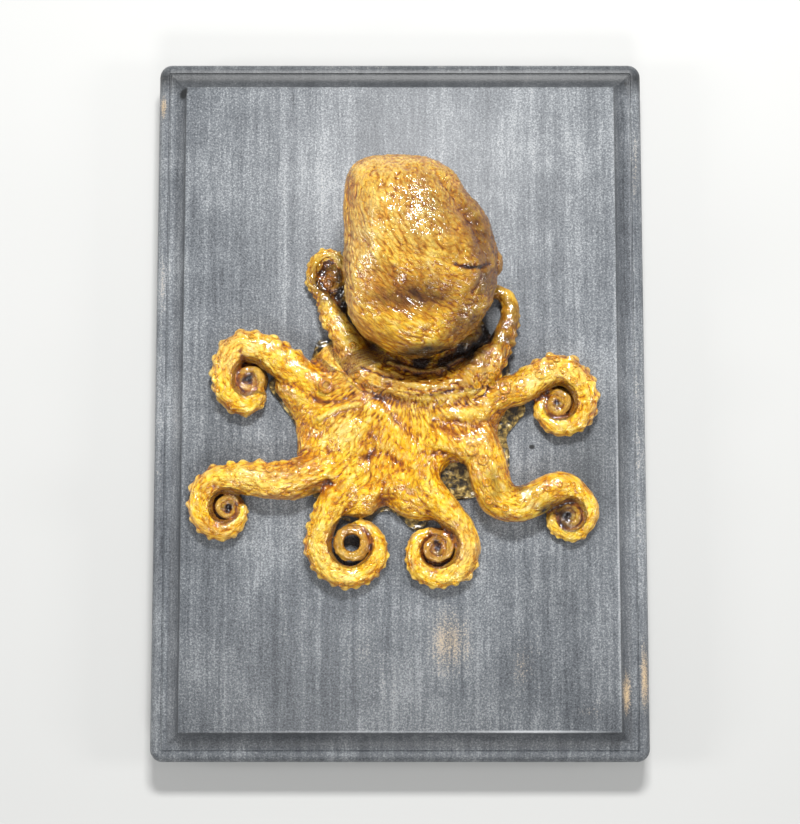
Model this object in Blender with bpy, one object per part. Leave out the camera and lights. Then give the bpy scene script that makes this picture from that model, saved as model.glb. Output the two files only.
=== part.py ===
"""A whole octopus, dried with its arms curled up and glued to a dark-stained wooden plaque.

Metres, +Z up. The plaque lies on its back, its top edge towards +Y, and the origin is the middle of its
underside. The octopus is one solid: mantle, web, eight arms and their suckers are joined by one union.
"""
import math

import bmesh
import bpy
from mathutils import Matrix, Vector

MM = 0.001

# The plaque: a pine board with rounded corners and a routed edge
BOARD_WIDTH = 128 * MM
BOARD_LENGTH = 183 * MM
BOARD_THICKNESS = 16 * MM
CORNER_RADIUS = 3.3 * MM
CORNER_STEPS = 5
UNDERSIDE_CHAMFER = 0.6 * MM
LOWER_EDGE_HEIGHT = 8.4 * MM
ROUNDOVER_RADIUS = 2.8 * MM
QUIRK_WIDTH = 0.35 * MM
QUIRK_DEPTH = 0.3 * MM
COVE_RADIUS = 4.6 * MM
STEP_INSET = 8.2 * MM
EDGE_BREAK = 0.3 * MM

# The octopus stands this far clear of the board's face, and its height is counted from there
FACE_GAP = 0.3 * MM
SETTLE = 0.74

# The mantle: a dried bag, plumpest in the middle, whose lower end hangs over the ring of arms
MANTLE_CENTRE = (5 * MM, 35.5 * MM)
MANTLE_HEIGHT = 27 * MM
MANTLE_OUTLINE = [
    (24.2, 33.0), (22.7, 44.0), (16.4, 52.6), (11.3, 59.0), (1.0, 61.4), (-9.2, 60.4), (-13.7, 54.0),
    (-14.0, 38.5), (-13.8, 27.0), (-11.2, 18.3), (-3.5, 12.0), (6.0, 10.3), (15.2, 14.2), (22.3, 22.5),
]
MANTLE_FULLNESS = 0.80
# Hollows and swellings of the mantle's upper side: x, y, reach along x, reach along y, height
MANTLE_RELIEF = [
    (4.0, 25.0, 12.0, 3.6, -3.2),
    (1.0, 15.5, 8.0, 4.0, 1.4),
    (-5.0, 45.0, 6.0, 9.0, 1.6),
    (17.0, 44.0, 6.0, 7.0, -1.6),
    (20.0, 27.0, 4.0, 4.0, 1.2),
    (-12.0, 40.0, 3.0, 10.0, -1.0),
]

# The collar of skin under the mantle's lower end, which joins it to the ring of arms
COLLAR_CENTRE = (5.5 * MM, 14.5 * MM, 1.0 * MM)
COLLAR_SIZE = (18.5 * MM, 13 * MM, 4.6 * MM)

# The web: a low dome between the arms' roots, and the dark film of skin that shows round its edge
WEB_CENTRE = (0.0, -7 * MM)
WEB_HEIGHT = 7.6 * MM
WEB_FULLNESS = 0.55
WEB_OUTLINE = [
    (25.0, 13.5), (7.7, 16.0), (-10.0, 16.0), (-19.2, 14.7), (-23.5, 9.6), (-31.6, 5.3), (-28.9, 0.4),
    (-26.1, -3.9), (-25.2, -9.7), (-25.4, -15.5), (-20.8, -21.9), (-17.2, -28.0), (-8.9, -29.3), (-3.8, -26.3),
    (2.0, -29.8), (10.6, -29.4), (10.9, -22.4), (10.3, -18.3), (14.7, -15.3), (21.3, -17.3),
    (26.2, -12.2), (25.0, -7.1), (28.0, 1.0), (24.8, 7.8),
]
FILM_THICKNESS = 0.9 * MM
FILM_OUTLINE = [
    (25.7, 12.0), (8.0, 14.0), (-12.0, 15.0), (-20.6, 16.3), (-23.7, 10.6), (-33.4, 5.6), (-30.7, 0.0),
    (-27.3, -4.8), (-26.3, -10.0), (-26.0, -17.2), (-22.2, -23.8), (-17.8, -28.5), (-8.7, -31.0), (-5.8, -28.5),
    (-2.0, -27.9), (4.6, -32.5), (11.6, -25.4), (18.4, -24.3), (26.4, -22.3), (28.1, -14.0),
    (27.3, -8.7), (29.7, -5.4), (32.2, -1.3), (28.8, 6.0),
]
# Folds of the web's skin: the line that each one's crest follows, its radius and its height above the face
WEB_FOLDS = [
    ([(-21.5, -5.5), (-16.0, -2.4), (-10.0, -1.2), (-7.5, -4.0), (-8.6, -9.5)], 2.4, 8.9),
    ([(-8.5, 1.5), (-3.0, -4.6), (2.5, -9.6), (7.5, -13.0)], 2.3, 9.2),
    ([(2.0, 1.0), (9.5, -1.8), (17.5, -3.4), (22.0, -2.6)], 2.6, 8.8),
    ([(-16.0, -6.0), (-13.0, -12.0), (-11.5, -18.0)], 3.6, 8.6),
    ([(-4.5, -21.5), (1.0, -19.5), (6.5, -22.0)], 2.2, 8.2),
]

# The arms, in millimetres. reach is the arm's line from the web to its curl, thick its radius at the root, in
# the middle and at the curl. The curl turns about centre, counter-clockwise where hand is 1, through sweep
# degrees, and shrinks to end_radius, slowly at first where hold is over 1. The last, thin coil lies about
# eye, from eye_radius[0] in to eye_radius[1]. knobs is the stretch of the arm, from root to curl's end,
# whose outer edge shows suckers, and discs the stretch that shows them on top, tilted that many degrees.
ARMS = {
    "upper_left": dict(
        reach=[(8.0, 1.5), (-1.0, 3.3), (-8.5, 9.0), (-13.8, 16.5), (-17.4, 22.5), (-20.6, 29.0)],
        thick=(4.3, 3.5, 2.3), lift=4.0, centre=(-18.0, 33.4), squeeze=0.72, hand=-1, end_radius=4.0,
        hold=1.0, sweep=250, end_thick=1.6, eye=(-18.1, 31.4), eye_radius=(1.6, 1.3), eye_turns=0.9,
        eye_thick=(0.9, 0.7), knobs=(0.45, 0.95), discs=(0.22, 0.55), tilt=40,
    ),
    "upper_right": dict(
        reach=[(8.0, 1.5), (16.5, 3.5), (23.3, 10.5), (27.2, 18.5), (28.4, 24.0)],
        thick=(4.3, 3.4, 2.1), lift=4.0, centre=(24.2, 24.8), squeeze=1.0, hand=1, end_radius=3.8,
        hold=1.0, sweep=170, end_thick=1.6, eye=(20.5, 27.0), eye_radius=(2.2, 1.0), eye_turns=0.8,
        eye_thick=(1.3, 0.7), knobs=(0.30, 0.72), discs=(0.25, 0.60), tilt=45,
    ),
    "middle_left": dict(
        reach=[(-5.0, -2.5), (-13.0, 0.5), (-21.0, 4.2), (-28.5, 9.2), (-34.0, 13.0), (-38.0, 14.0)],
        thick=(4.4, 4.4, 3.9), lift=-0.5, centre=(-39.7, 6.8), squeeze=0.66, hand=1, end_radius=7.0,
        hold=1.0, sweep=238, end_thick=2.8, eye=(-38.6, 5.7), eye_radius=(3.2, 1.2), eye_turns=1.5,
        eye_thick=(1.6, 0.8), knobs=(0.42, 1.0), discs=(0.38, 0.90), tilt=48,
    ),
    "lower_left": dict(
        reach=[(-5.0, -7.0), (-12.5, -13.0), (-20.5, -17.6), (-29.0, -20.3), (-37.0, -19.6), (-43.0, -19.5)],
        thick=(4.6, 4.8, 3.9), lift=-0.5, centre=(-44.7, -26.9), squeeze=0.92, hand=1, end_radius=4.6,
        hold=1.0, sweep=280, end_thick=1.8, eye=(-43.8, -26.9), eye_radius=(2.7, 0.9), eye_turns=1.3,
        eye_thick=(1.3, 0.7), knobs=(0.28, 1.0), discs=(0.30, 0.62), tilt=50,
    ),
    "bottom_left": dict(
        reach=[(-3.0, -9.0), (-7.5, -14.5), (-13.0, -20.5), (-17.3, -26.0), (-19.6, -31.5)],
        thick=(4.4, 4.2, 3.3), lift=-0.5, centre=(-11.9, -36.3), squeeze=1.0, hand=1, end_radius=4.7,
        hold=1.5, sweep=290, end_thick=1.7, eye=(-12.1, -35.9), eye_radius=(3.5, 3.1), eye_turns=1.05,
        eye_thick=(1.5, 1.1), knobs=(0.36, 1.0), discs=(0.40, 0.80), tilt=42,
    ),
    "bottom_right": dict(
        reach=[(0.0, -10.0), (3.5, -17.0), (8.5, -24.0), (13.3, -29.3), (16.3, -33.4)],
        thick=(4.3, 4.2, 3.2), lift=-0.5, centre=(9.2, -37.3), squeeze=1.0, hand=-1, end_radius=4.6,
        hold=1.5, sweep=275, end_thick=1.3, eye=(9.4, -36.9), eye_radius=(3.6, 1.4), eye_turns=1.5,
        eye_thick=(1.4, 0.7), knobs=(0.58, 1.0), discs=(0.55, 0.80), tilt=42,
    ),
    "lower_right": dict(
        reach=[
            (2.0, -7.0), (10.0, -7.8), (16.5, -7.6), (20.2, -10.2), (21.9, -15.0), (22.9, -20.0),
            (25.2, -24.4), (29.4, -26.0), (33.6, -24.9), (37.8, -22.7), (41.6, -21.8),
        ],
        thick=(4.0, 5.2, 4.0), lift=-0.5, centre=(42.6, -28.8), squeeze=1.0, hand=-1, end_radius=3.9,
        hold=0.55, sweep=290, end_thick=1.3, eye=(42.9, -29.1), eye_radius=(2.5, 0.8), eye_turns=1.4,
        eye_thick=(1.1, 0.6), knobs=(0.86, 1.0), discs=(0.22, 0.84), tilt=85,
    ),
    "right": dict(
        reach=[(6.0, -4.0), (15.0, -2.2), (24.0, 1.3), (32.0, 4.2), (37.0, 7.3), (40.8, 8.4)],
        thick=(4.2, 4.2, 3.9), lift=-0.5, centre=(40.4, -0.2), squeeze=1.0, hand=-1, end_radius=4.1,
        hold=0.9, sweep=290, end_thick=1.6, eye=(40.2, -0.4), eye_radius=(2.9, 0.9), eye_turns=1.5,
        eye_thick=(1.3, 0.7), knobs=(0.42, 1.0), discs=(0.20, 0.66), tilt=55,
    ),
}
ARM_SEGMENT = 1.0
KNOB_SPACING = 1.1
KNOB_RADIUS = 0.36
KNOB_SIDES = 6
DISC_SPACING = 1.2
DISC_RADIUS = 0.40
DISC_SIDES = 7

# The swelling that shows at the mantle's right edge, above the slit
EYE_SWELLING = (23.9 * MM, 35.2 * MM, 10.5 * MM)
EYE_SWELLING_SIZE = (2.2 * MM, 3.4 * MM, 3.4 * MM)

BOARD_COLOUR = (0.16, 0.17, 0.18, 1.0)
OCTOPUS_COLOUR = (0.62, 0.40, 0.10, 1.0)


def clear_scene():
    for obj in list(bpy.data.objects):
        bpy.data.objects.remove(obj)


def new_collection(name):
    made = bpy.data.collections.new(name)
    bpy.context.scene.collection.children.link(made)
    return made


def new_material(name, colour, roughness):
    made = bpy.data.materials.new(name)
    made.use_nodes = True
    shader = made.node_tree.nodes["Principled BSDF"]
    shader.inputs["Base Color"].default_value = colour
    shader.inputs["Roughness"].default_value = roughness
    shader.inputs["Metallic"].default_value = 0.0
    return made


def object_from(shape, name, collection):
    """A new object from a bmesh, in a collection."""
    mesh = bpy.data.meshes.new(name)
    bmesh.ops.recalc_face_normals(shape, faces=shape.faces)
    shape.to_mesh(mesh)
    shape.free()
    obj = bpy.data.objects.new(name, mesh)
    collection.objects.link(obj)
    return obj


def evaluated_mesh(obj):
    graph = bpy.context.evaluated_depsgraph_get()
    return bpy.data.meshes.new_from_object(obj.evaluated_get(graph), depsgraph=graph)


def through(stations, at):
    """A Catmull-Rom curve through stations of any dimension, at 0 for the first and 1 for the last."""
    spans = len(stations) - 1
    index = min(int(at * spans), spans - 1)
    t = at * spans - index
    a, b, c, d = (stations[min(max(index + step, 0), spans)] for step in (-1, 0, 1, 2))
    return tuple(
        0.5 * (2 * q + (r - p) * t + (2 * p - 5 * q + 4 * r - s) * t**2 + (3 * q - p - 3 * r + s) * t**3)
        for p, q, r, s in zip(a, b, c, d)
    )


def closed_curve(points, samples):
    """Points of a smooth closed curve through the given ones, in metres."""
    count = len(points)
    wrapped = [points[i % count] for i in range(-2, count + 3)]
    spans = len(wrapped) - 1
    found = (through(wrapped, (2 + count * i / samples) / spans) for i in range(samples))
    return [Vector((x * MM, y * MM)) for x, y in found]


def reach_of(outline, centre, angle):
    """How far a closed outline lies from its centre in one direction."""
    direction = Vector((math.cos(angle), math.sin(angle)))
    best = 0.0
    for start, end in zip(outline, outline[1:] + outline[:1]):
        a, b = start - centre, end - centre
        across = a.x * direction.y - a.y * direction.x, b.x * direction.y - b.y * direction.x
        if across[0] * across[1] > 0 or across[0] == across[1]:
            continue
        meets = a.lerp(b, across[0] / (across[0] - across[1]))
        best = max(best, meets.dot(direction))
    return best


def pebble(name, collection, outline, centre, middle, half_height, fullness, sides, rings, relief=()):
    """A closed pebble whose plan is the outline, with hollows and swellings on its upper side."""
    shape = bmesh.new()
    bmesh.ops.create_uvsphere(shape, u_segments=sides, v_segments=rings, radius=1)
    curve = closed_curve(outline, 6 * len(outline))
    centre = Vector(centre)
    for vertex in shape.verts:
        flat = Vector((vertex.co.x, vertex.co.y))
        share = min(flat.length, 1.0) ** fullness
        angle = math.atan2(flat.y, flat.x)
        plan = centre + Vector((math.cos(angle), math.sin(angle))) * reach_of(curve, centre, angle) * share
        height = middle + half_height * vertex.co.z
        for x, y, wide, long, swell in relief:
            away = ((plan.x / MM - x) / wide) ** 2 + ((plan.y / MM - y) / long) ** 2
            height += swell * MM * math.exp(-away) * max(vertex.co.z, 0.0)
        vertex.co = (plan.x, plan.y, height)
    return object_from(shape, name, collection)


def board_ring(inset, height):
    """The board's outline at a height, drawn in by inset, its corners as round as that leaves them."""
    half = Vector((BOARD_WIDTH / 2 - inset, BOARD_LENGTH / 2 - inset))
    radius = max(CORNER_RADIUS - inset, 0.2 * MM)
    ring = []
    for quarter, (x, y) in enumerate(((1, 1), (-1, 1), (-1, -1), (1, -1))):
        for step in range(CORNER_STEPS):
            angle = math.radians(90 * (quarter + step / (CORNER_STEPS - 1)))
            centre = Vector((x * (half.x - radius), y * (half.y - radius)))
            ring.append((centre.x + radius * math.cos(angle), centre.y + radius * math.sin(angle), height))
    return ring


def board_profile():
    """The routed edge from the underside up: (inset from the outline, height)."""
    profile = [(UNDERSIDE_CHAMFER, 0.0), (0.0, UNDERSIDE_CHAMFER), (0.0, LOWER_EDGE_HEIGHT)]
    for step in range(1, 4):
        angle = math.radians(30 * step)
        inset = ROUNDOVER_RADIUS * (1 - math.cos(angle))
        profile.append((inset, LOWER_EDGE_HEIGHT + ROUNDOVER_RADIUS * math.sin(angle)))
    top = LOWER_EDGE_HEIGHT + ROUNDOVER_RADIUS
    profile.append((ROUNDOVER_RADIUS + QUIRK_WIDTH, top - QUIRK_DEPTH))
    cove_start = STEP_INSET - EDGE_BREAK - COVE_RADIUS
    for step in range(4):
        angle = math.radians(25 * step)
        inset = cove_start + COVE_RADIUS * math.sin(angle)
        profile.append((inset, top + COVE_RADIUS * (1 - math.cos(angle))))
    profile.append((STEP_INSET - EDGE_BREAK, BOARD_THICKNESS - EDGE_BREAK))
    profile.append((STEP_INSET, BOARD_THICKNESS))
    return profile


def make_board(collection):
    shape = bmesh.new()
    rings = [[shape.verts.new(p) for p in board_ring(inset, z)] for inset, z in board_profile()]
    for lower, upper in zip(rings, rings[1:]):
        for i in range(len(lower)):
            j = (i + 1) % len(lower)
            shape.faces.new((lower[i], lower[j], upper[j], upper[i]))
    shape.faces.new(rings[0])
    shape.faces.new(rings[-1])
    board = object_from(shape, "board", collection)
    board.data.materials.append(new_material("stained_pine", BOARD_COLOUR, 0.5))
    return board


def curl_point(arm, f):
    """The arm's line and radius in its curl, f from 0 at the start to 1 at the end."""
    cx, cy = arm["centre"]
    x, y = arm["reach"][-1]
    start = math.atan2(y - cy, (x - cx) / arm["squeeze"])
    first = math.hypot(y - cy, (x - cx) / arm["squeeze"])
    shrink = f ** arm["hold"]
    angle = start + arm["hand"] * math.radians(arm["sweep"]) * f
    radius = first + (arm["end_radius"] - first) * shrink
    thick = arm["thick"][-1] + (arm["end_thick"] - arm["thick"][-1]) * shrink
    return cx + arm["squeeze"] * radius * math.cos(angle), cy + radius * math.sin(angle), thick


def outer_stations(arm):
    """(x, y, radius, lift) along the arm from its root to the end of its curl."""
    count = len(arm["reach"])
    stations = []
    for i, (x, y) in enumerate(arm["reach"]):
        share = i / (count - 1)
        (thick,) = through([(t,) for t in arm["thick"]], share)
        stations.append((x, y, thick, arm["lift"] * (1 - share)))
    turns = round(arm["sweep"] / 30)
    for i in range(1, turns + 1):
        stations.append((*curl_point(arm, i / turns), 0.0))
    return stations


def inner_stations(arm):
    """The last, thin coil, which starts inside the end of the curl."""
    x, y, thick = curl_point(arm, 1.0)
    ex, ey = arm["eye"]
    start = math.atan2(y - ey, x - ex)
    stations = [(x, y, arm["eye_thick"][0], 0.0)]
    steps = round(arm["eye_turns"] * 12)
    for i in range(1, steps + 1):
        f = i / steps
        angle = start + arm["hand"] * math.tau * arm["eye_turns"] * f
        radius = arm["eye_radius"][0] + (arm["eye_radius"][1] - arm["eye_radius"][0]) * f
        thick = arm["eye_thick"][0] + (arm["eye_thick"][1] - arm["eye_thick"][0]) * f
        stations.append((ex + radius * math.cos(angle), ey + radius * math.sin(angle), thick, 0.0))
    return stations


def walk(stations, pace):
    """Stations (x, y, radius, lift) spread along the curve so that each step is pace times the radius."""
    fine = [through(stations, i / (40 * len(stations))) for i in range(40 * len(stations) + 1)]
    found, since = [fine[0]], 0.0
    for before, here in zip(fine, fine[1:]):
        since += math.hypot(here[0] - before[0], here[1] - before[1])
        if since >= pace * here[2]:
            found.append(here)
            since = 0.0
    if since < 0.5 * pace * fine[-1][2]:
        found.pop()
    return found + [fine[-1]]


def height_of(radius, lift):
    return (radius * SETTLE + lift) * MM


def tube(name, collection, stations, bevel_resolution):
    """A closed tube along the stations, resting on the board's face. Its ends are filled and welded."""
    curve = bpy.data.curves.new(name, "CURVE")
    curve.dimensions = "3D"
    curve.bevel_depth = MM
    curve.bevel_resolution = bevel_resolution
    curve.use_fill_caps = True
    spline = curve.splines.new("POLY")
    spline.points.add(len(stations) - 1)
    for point, (x, y, radius, lift) in zip(spline.points, stations):
        point.co = (x * MM, y * MM, height_of(radius, lift), 1.0)
        point.radius = radius
    source = bpy.data.objects.new(name, curve)
    collection.objects.link(source)
    shape = bmesh.new()
    shape.from_mesh(evaluated_mesh(source))
    bmesh.ops.remove_doubles(shape, verts=shape.verts, dist=0.01 * MM)
    bpy.data.objects.remove(source)
    return object_from(shape, name, collection)


def sucker(name, collection, place, outwards, radius, sides):
    """A short, slightly waisted stub that stands out of the arm."""
    shape = bmesh.new()
    turn = outwards.to_track_quat("Z", "Y").to_matrix().to_4x4()
    bmesh.ops.create_cone(
        shape, cap_ends=True, segments=sides, radius1=radius, radius2=radius * 0.86, depth=radius * 2.2,
        matrix=Matrix.Translation(place) @ turn,
    )
    return object_from(shape, name, collection)


def sucker_row(name, collection, arm, stretch, tilt, spacing, size, sides):
    """Suckers along a stretch of the arm's outer side, tilted up from the board's face."""
    stations = walk(outer_stations(arm), spacing)
    first, last = (round(share * (len(stations) - 1)) for share in stretch)
    for i in range(max(first, 1), last):
        x, y, radius, lift = stations[i]
        ahead, behind = stations[i + 1], stations[i - 1]
        along = Vector((ahead[0] - behind[0], ahead[1] - behind[1], 0)).normalized()
        side = Vector((along.y, -along.x, 0)) * arm["hand"]
        outwards = side * math.cos(tilt) + Vector((0, 0, 1)) * math.sin(tilt)
        middle = Vector((x * MM, y * MM, height_of(radius, lift)))
        place = middle + outwards * radius * (1 - 0.55 * size) * MM
        sucker(f"{name}_{i}", collection, place, outwards, radius * size * MM, sides)


def make_arm(name, arm, collection):
    tube(name, collection, walk(outer_stations(arm), ARM_SEGMENT), 2)
    tube(name + "_coil", collection, walk(inner_stations(arm), ARM_SEGMENT), 1)
    sucker_row(
        name + "_knob", collection, arm, arm["knobs"], math.radians(12), KNOB_SPACING, KNOB_RADIUS, KNOB_SIDES
    )
    sucker_row(
        name + "_disc", collection, arm, arm["discs"], math.radians(arm["tilt"]), DISC_SPACING, DISC_RADIUS,
        DISC_SIDES,
    )


def make_film(collection):
    """The thin dark skin at the web's edge: a flat outline, a little thicker than it shows."""
    curve = bpy.data.curves.new("film", "CURVE")
    curve.dimensions = "2D"
    curve.fill_mode = "BOTH"
    curve.extrude = FILM_THICKNESS
    spline = curve.splines.new("POLY")
    points = closed_curve(FILM_OUTLINE, 3 * len(FILM_OUTLINE))
    spline.points.add(len(points) - 1)
    for point, place in zip(spline.points, points):
        point.co = (place.x, place.y, 0.0, 1.0)
    spline.use_cyclic_u = True
    source = bpy.data.objects.new("film", curve)
    collection.objects.link(source)
    shape = bmesh.new()
    shape.from_mesh(evaluated_mesh(source))
    bmesh.ops.remove_doubles(shape, verts=shape.verts, dist=0.01 * MM)
    bpy.data.objects.remove(source)
    return object_from(shape, "film", collection)


def make_ellipsoid(name, collection, centre, size, sides, rings):
    shape = bmesh.new()
    scale = Matrix.Diagonal((*size, 1))
    bmesh.ops.create_uvsphere(
        shape, u_segments=sides, v_segments=rings, radius=1, matrix=Matrix.Translation(centre) @ scale
    )
    return object_from(shape, name, collection)


def make_fold(name, collection, line, radius, crest):
    lift = crest - radius * (1 + SETTLE)
    stations = [(x, y, radius, lift) for x, y in line]
    tapered = [(x, y, r * (0.6 if i in (0, len(line) - 1) else 1.0), h) for i, (x, y, r, h) in enumerate(stations)]
    return tube(name, collection, walk(tapered, 1.2), 1)


def join_all(name, shapes, collection):
    """One solid from every shape: a union on their collection, applied, with the shapes then removed."""
    first, *others = list(shapes.objects)
    shapes.objects.unlink(first)
    collection.objects.link(first)
    union = first.modifiers.new("union", "BOOLEAN")
    union.operation = "UNION"
    union.operand_type = "COLLECTION"
    union.collection = shapes
    union.solver = "MANIFOLD"
    bpy.context.view_layer.update()
    joined = bpy.data.objects.new(name, evaluated_mesh(first))
    collection.objects.link(joined)
    for obj in [first, *others]:
        bpy.data.objects.remove(obj)
    bpy.data.collections.remove(shapes)
    return joined


def flatten_underside(octopus, cutters):
    """Cuts the underside flat, just clear of the board's face, with a cutter faced in small squares."""
    shape = bmesh.new()
    depth = 20 * MM
    size = Matrix.Diagonal((BOARD_WIDTH, BOARD_LENGTH, depth, 1))
    bmesh.ops.create_cube(shape, size=1, matrix=Matrix.Translation((0, 0, FACE_GAP - depth / 2)) @ size)
    bmesh.ops.subdivide_edges(shape, edges=shape.edges, cuts=19, use_grid_fill=True)
    cutter = object_from(shape, "face_cutter", cutters)
    cutter.hide_render = True
    cutter.display_type = "WIRE"
    cut = octopus.modifiers.new("flat_underside", "BOOLEAN")
    cut.operation = "DIFFERENCE"
    cut.solver = "MANIFOLD"
    cut.object = cutter
    return cutter


def make_octopus(collection, cutters):
    shapes = new_collection("octopus_shapes")
    pebble(
        "mantle", shapes, MANTLE_OUTLINE, MANTLE_CENTRE, MANTLE_HEIGHT / 2, MANTLE_HEIGHT / 2,
        MANTLE_FULLNESS, 28, 16, MANTLE_RELIEF,
    )
    pebble("web", shapes, WEB_OUTLINE, WEB_CENTRE, 0.0, WEB_HEIGHT, WEB_FULLNESS, 44, 10)
    make_film(shapes)
    make_ellipsoid("collar", shapes, COLLAR_CENTRE, COLLAR_SIZE, 20, 8)
    make_ellipsoid("swelling", shapes, EYE_SWELLING, EYE_SWELLING_SIZE, 10, 6)
    for number, (line, radius, crest) in enumerate(WEB_FOLDS):
        make_fold(f"fold_{number}", shapes, line, radius, crest)
    for name, arm in ARMS.items():
        make_arm(name, arm, shapes)
    octopus = join_all("octopus", shapes, collection)
    cutter = flatten_underside(octopus, cutters)
    octopus.data.materials.clear()
    octopus.data.materials.append(new_material("dried_skin", OCTOPUS_COLOUR, 0.3))
    for obj in (octopus, cutter):
        obj.location.z = BOARD_THICKNESS
    return octopus


def main():
    clear_scene()
    parts = new_collection("mounted_octopus")
    cutters = new_collection("cutters")
    make_board(parts)
    make_octopus(parts, cutters)


main()
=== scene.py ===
# %% [markdown]
# # A dried octopus on a stained plaque
# A small octopus was dried with its arms curled up, varnished, and glued to a dark-stained pine plaque.
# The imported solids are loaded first. They fix every size and place, and each piece made here covers one.

# %% The fixed frame
import math

import bpy
import numpy as np
from mathutils import Matrix, Vector, bvhtree, kdtree, noise


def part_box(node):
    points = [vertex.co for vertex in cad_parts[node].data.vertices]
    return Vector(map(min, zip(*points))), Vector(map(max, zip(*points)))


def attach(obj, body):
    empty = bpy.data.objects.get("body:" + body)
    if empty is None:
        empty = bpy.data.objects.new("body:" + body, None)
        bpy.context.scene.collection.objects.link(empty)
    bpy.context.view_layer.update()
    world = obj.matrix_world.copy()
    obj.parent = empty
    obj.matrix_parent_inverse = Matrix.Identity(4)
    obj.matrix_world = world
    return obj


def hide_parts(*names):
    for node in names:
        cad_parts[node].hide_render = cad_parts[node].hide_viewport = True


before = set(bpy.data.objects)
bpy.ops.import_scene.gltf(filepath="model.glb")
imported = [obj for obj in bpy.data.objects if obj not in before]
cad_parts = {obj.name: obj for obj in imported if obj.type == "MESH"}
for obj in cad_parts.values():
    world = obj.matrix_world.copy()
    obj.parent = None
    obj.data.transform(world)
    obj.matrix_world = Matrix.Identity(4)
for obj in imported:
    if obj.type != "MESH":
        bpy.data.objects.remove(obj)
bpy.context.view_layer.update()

MM = 0.001
BOARD_LOW, BOARD_HIGH = (Vector(corner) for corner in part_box("board"))
FACE = BOARD_HIGH.z

# %% [markdown]
# The camera looks straight down on the plaque from 42 cm, leaning 6 degrees towards its lower edge. The
# photograph's frame is a little taller than wide, so the lens is worked out for the long side.

# %% Camera
CAMERA_ABOVE_FACE = 417.8 * MM
CAMERA_TOWARDS_FOOT = 44.98 * MM
CAMERA_LEAN = math.radians(5.8457)
CAMERA_LENS = 71.42

bpy.ops.object.select_all(action="DESELECT")
bpy.ops.object.camera_add(
    location=(0, -CAMERA_TOWARDS_FOOT, FACE + CAMERA_ABOVE_FACE), rotation=(CAMERA_LEAN, 0, 0)
)
camera = bpy.context.object
camera.data.lens = CAMERA_LENS
camera.data.sensor_width = 36
bpy.context.scene.camera = camera
print("camera", [round(v, 3) for v in camera.location])

# %% [markdown]
# Blender's operators act on everything that is selected, so each piece starts from an empty selection.
# A finished piece sits at the origin with its place in its mesh. Then a pattern on Object coordinates is
# in metres of the plaque, and millimetre sizes can be used as they are.

# %% Helpers for making pieces
def select_only(*pieces):
    if bpy.context.object and bpy.context.object.mode != "OBJECT":
        bpy.ops.object.mode_set(mode="OBJECT")
    bpy.ops.object.select_all(action="DESELECT")
    for piece in pieces:
        piece.select_set(True)
    if pieces:
        bpy.context.view_layer.objects.active = pieces[0]


def edit(piece, kind="VERT", action="SELECT"):
    """Starts editing the piece's mesh, with all of it selected, or nothing."""
    select_only(piece)
    bpy.ops.object.mode_set(mode="EDIT")
    bpy.ops.mesh.select_mode(type=kind)
    bpy.ops.mesh.select_all(action=action)


def settle(piece):
    """Moves the object's place and turn into its mesh."""
    select_only(piece)
    bpy.ops.object.transform_apply(location=True, rotation=True, scale=True)


def apply_modifier(piece, kind, **settings):
    select_only(piece)
    modifier = piece.modifiers.new(kind.lower(), kind)
    for name, value in settings.items():
        setattr(modifier, name, value)
    bpy.ops.object.modifier_apply(modifier=modifier.name)


def join(name, pieces):
    select_only(*pieces)
    if len(pieces) > 1:
        bpy.ops.object.join()
    piece = bpy.context.object
    piece.name = name
    piece.data.name = name
    settle(piece)
    return piece


def triangles(piece):
    return sum(len(face.vertices) - 2 for face in piece.data.polygons)


# %% [markdown]
# Colours are picked as sRGB hex values, as a paint program shows them, but the renderer adds light in
# linear values. One function turns one into the other, and one small function adds every kind of node.

# %% Colours and nodes
def linear(hex_value):
    """The linear RGBA of an sRGB hex colour."""
    shares = [int(hex_value[i:i + 2], 16) / 255 for i in (1, 3, 5)]
    return tuple(s / 12.92 if s <= 0.04045 else ((s + 0.055) / 1.055) ** 2.4 for s in shares) + (1.0,)


def add_node(tree, kind, inputs=None, stops=None, **settings):
    """Adds a node, sets its settings and a ramp's colour stops, and fills its inputs with values or links."""
    node = tree.nodes.new(kind)
    for name, value in settings.items():
        setattr(node, name, value)
    for name, value in (inputs or {}).items():
        if isinstance(value, bpy.types.NodeSocket):
            tree.links.new(value, node.inputs[name])
        else:
            node.inputs[name].default_value = linear(value) if isinstance(value, str) else value
    if stops:
        elements = node.color_ramp.elements
        for place, colour in stops[1:-1]:
            elements.new(place)
        for element, (place, colour) in zip(elements, stops):
            element.position = place
            element.color = linear(colour)
    return node


def new_material(name, finish):
    """A material whose Principled shader has the given finish, its tree and that shader."""
    made = bpy.data.materials.new(name)
    made.use_nodes = True
    shader = made.node_tree.nodes["Principled BSDF"]
    for setting, value in finish.items():
        shader.inputs[setting].default_value = value
    return made, made.node_tree, shader


# %% [markdown]
# ## The plaque
# Stock plaques are planed pine boards with a routed edge: a roundover, a fine quirk and a cove that rises
# to the raised face. The outer corners are rounded, and the cove meets in nearly sharp mitres. Each level
# of the edge is one plane whose corners are bevelled, and neighbouring levels are bridged.

# %% The plaque's edge, level by level
BOARD_WIDTH = BOARD_HIGH.x - BOARD_LOW.x
BOARD_LENGTH = BOARD_HIGH.y - BOARD_LOW.y
CORNER_RADIUS = 3.3 * MM
SHARPEST_CORNER = 0.2 * MM
CORNER_SEGMENTS = 8
UNDERSIDE_CHAMFER = 0.6 * MM
ROUNDOVER_START = 8.4 * MM
ROUNDOVER_RADIUS = 2.8 * MM
QUIRK_WIDTH = 0.35 * MM
QUIRK_DEPTH = 0.3 * MM
COVE_RADIUS = 4.6 * MM
STEP_INSET = 8.2 * MM
EDGE_BREAK = 0.25 * MM


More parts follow.
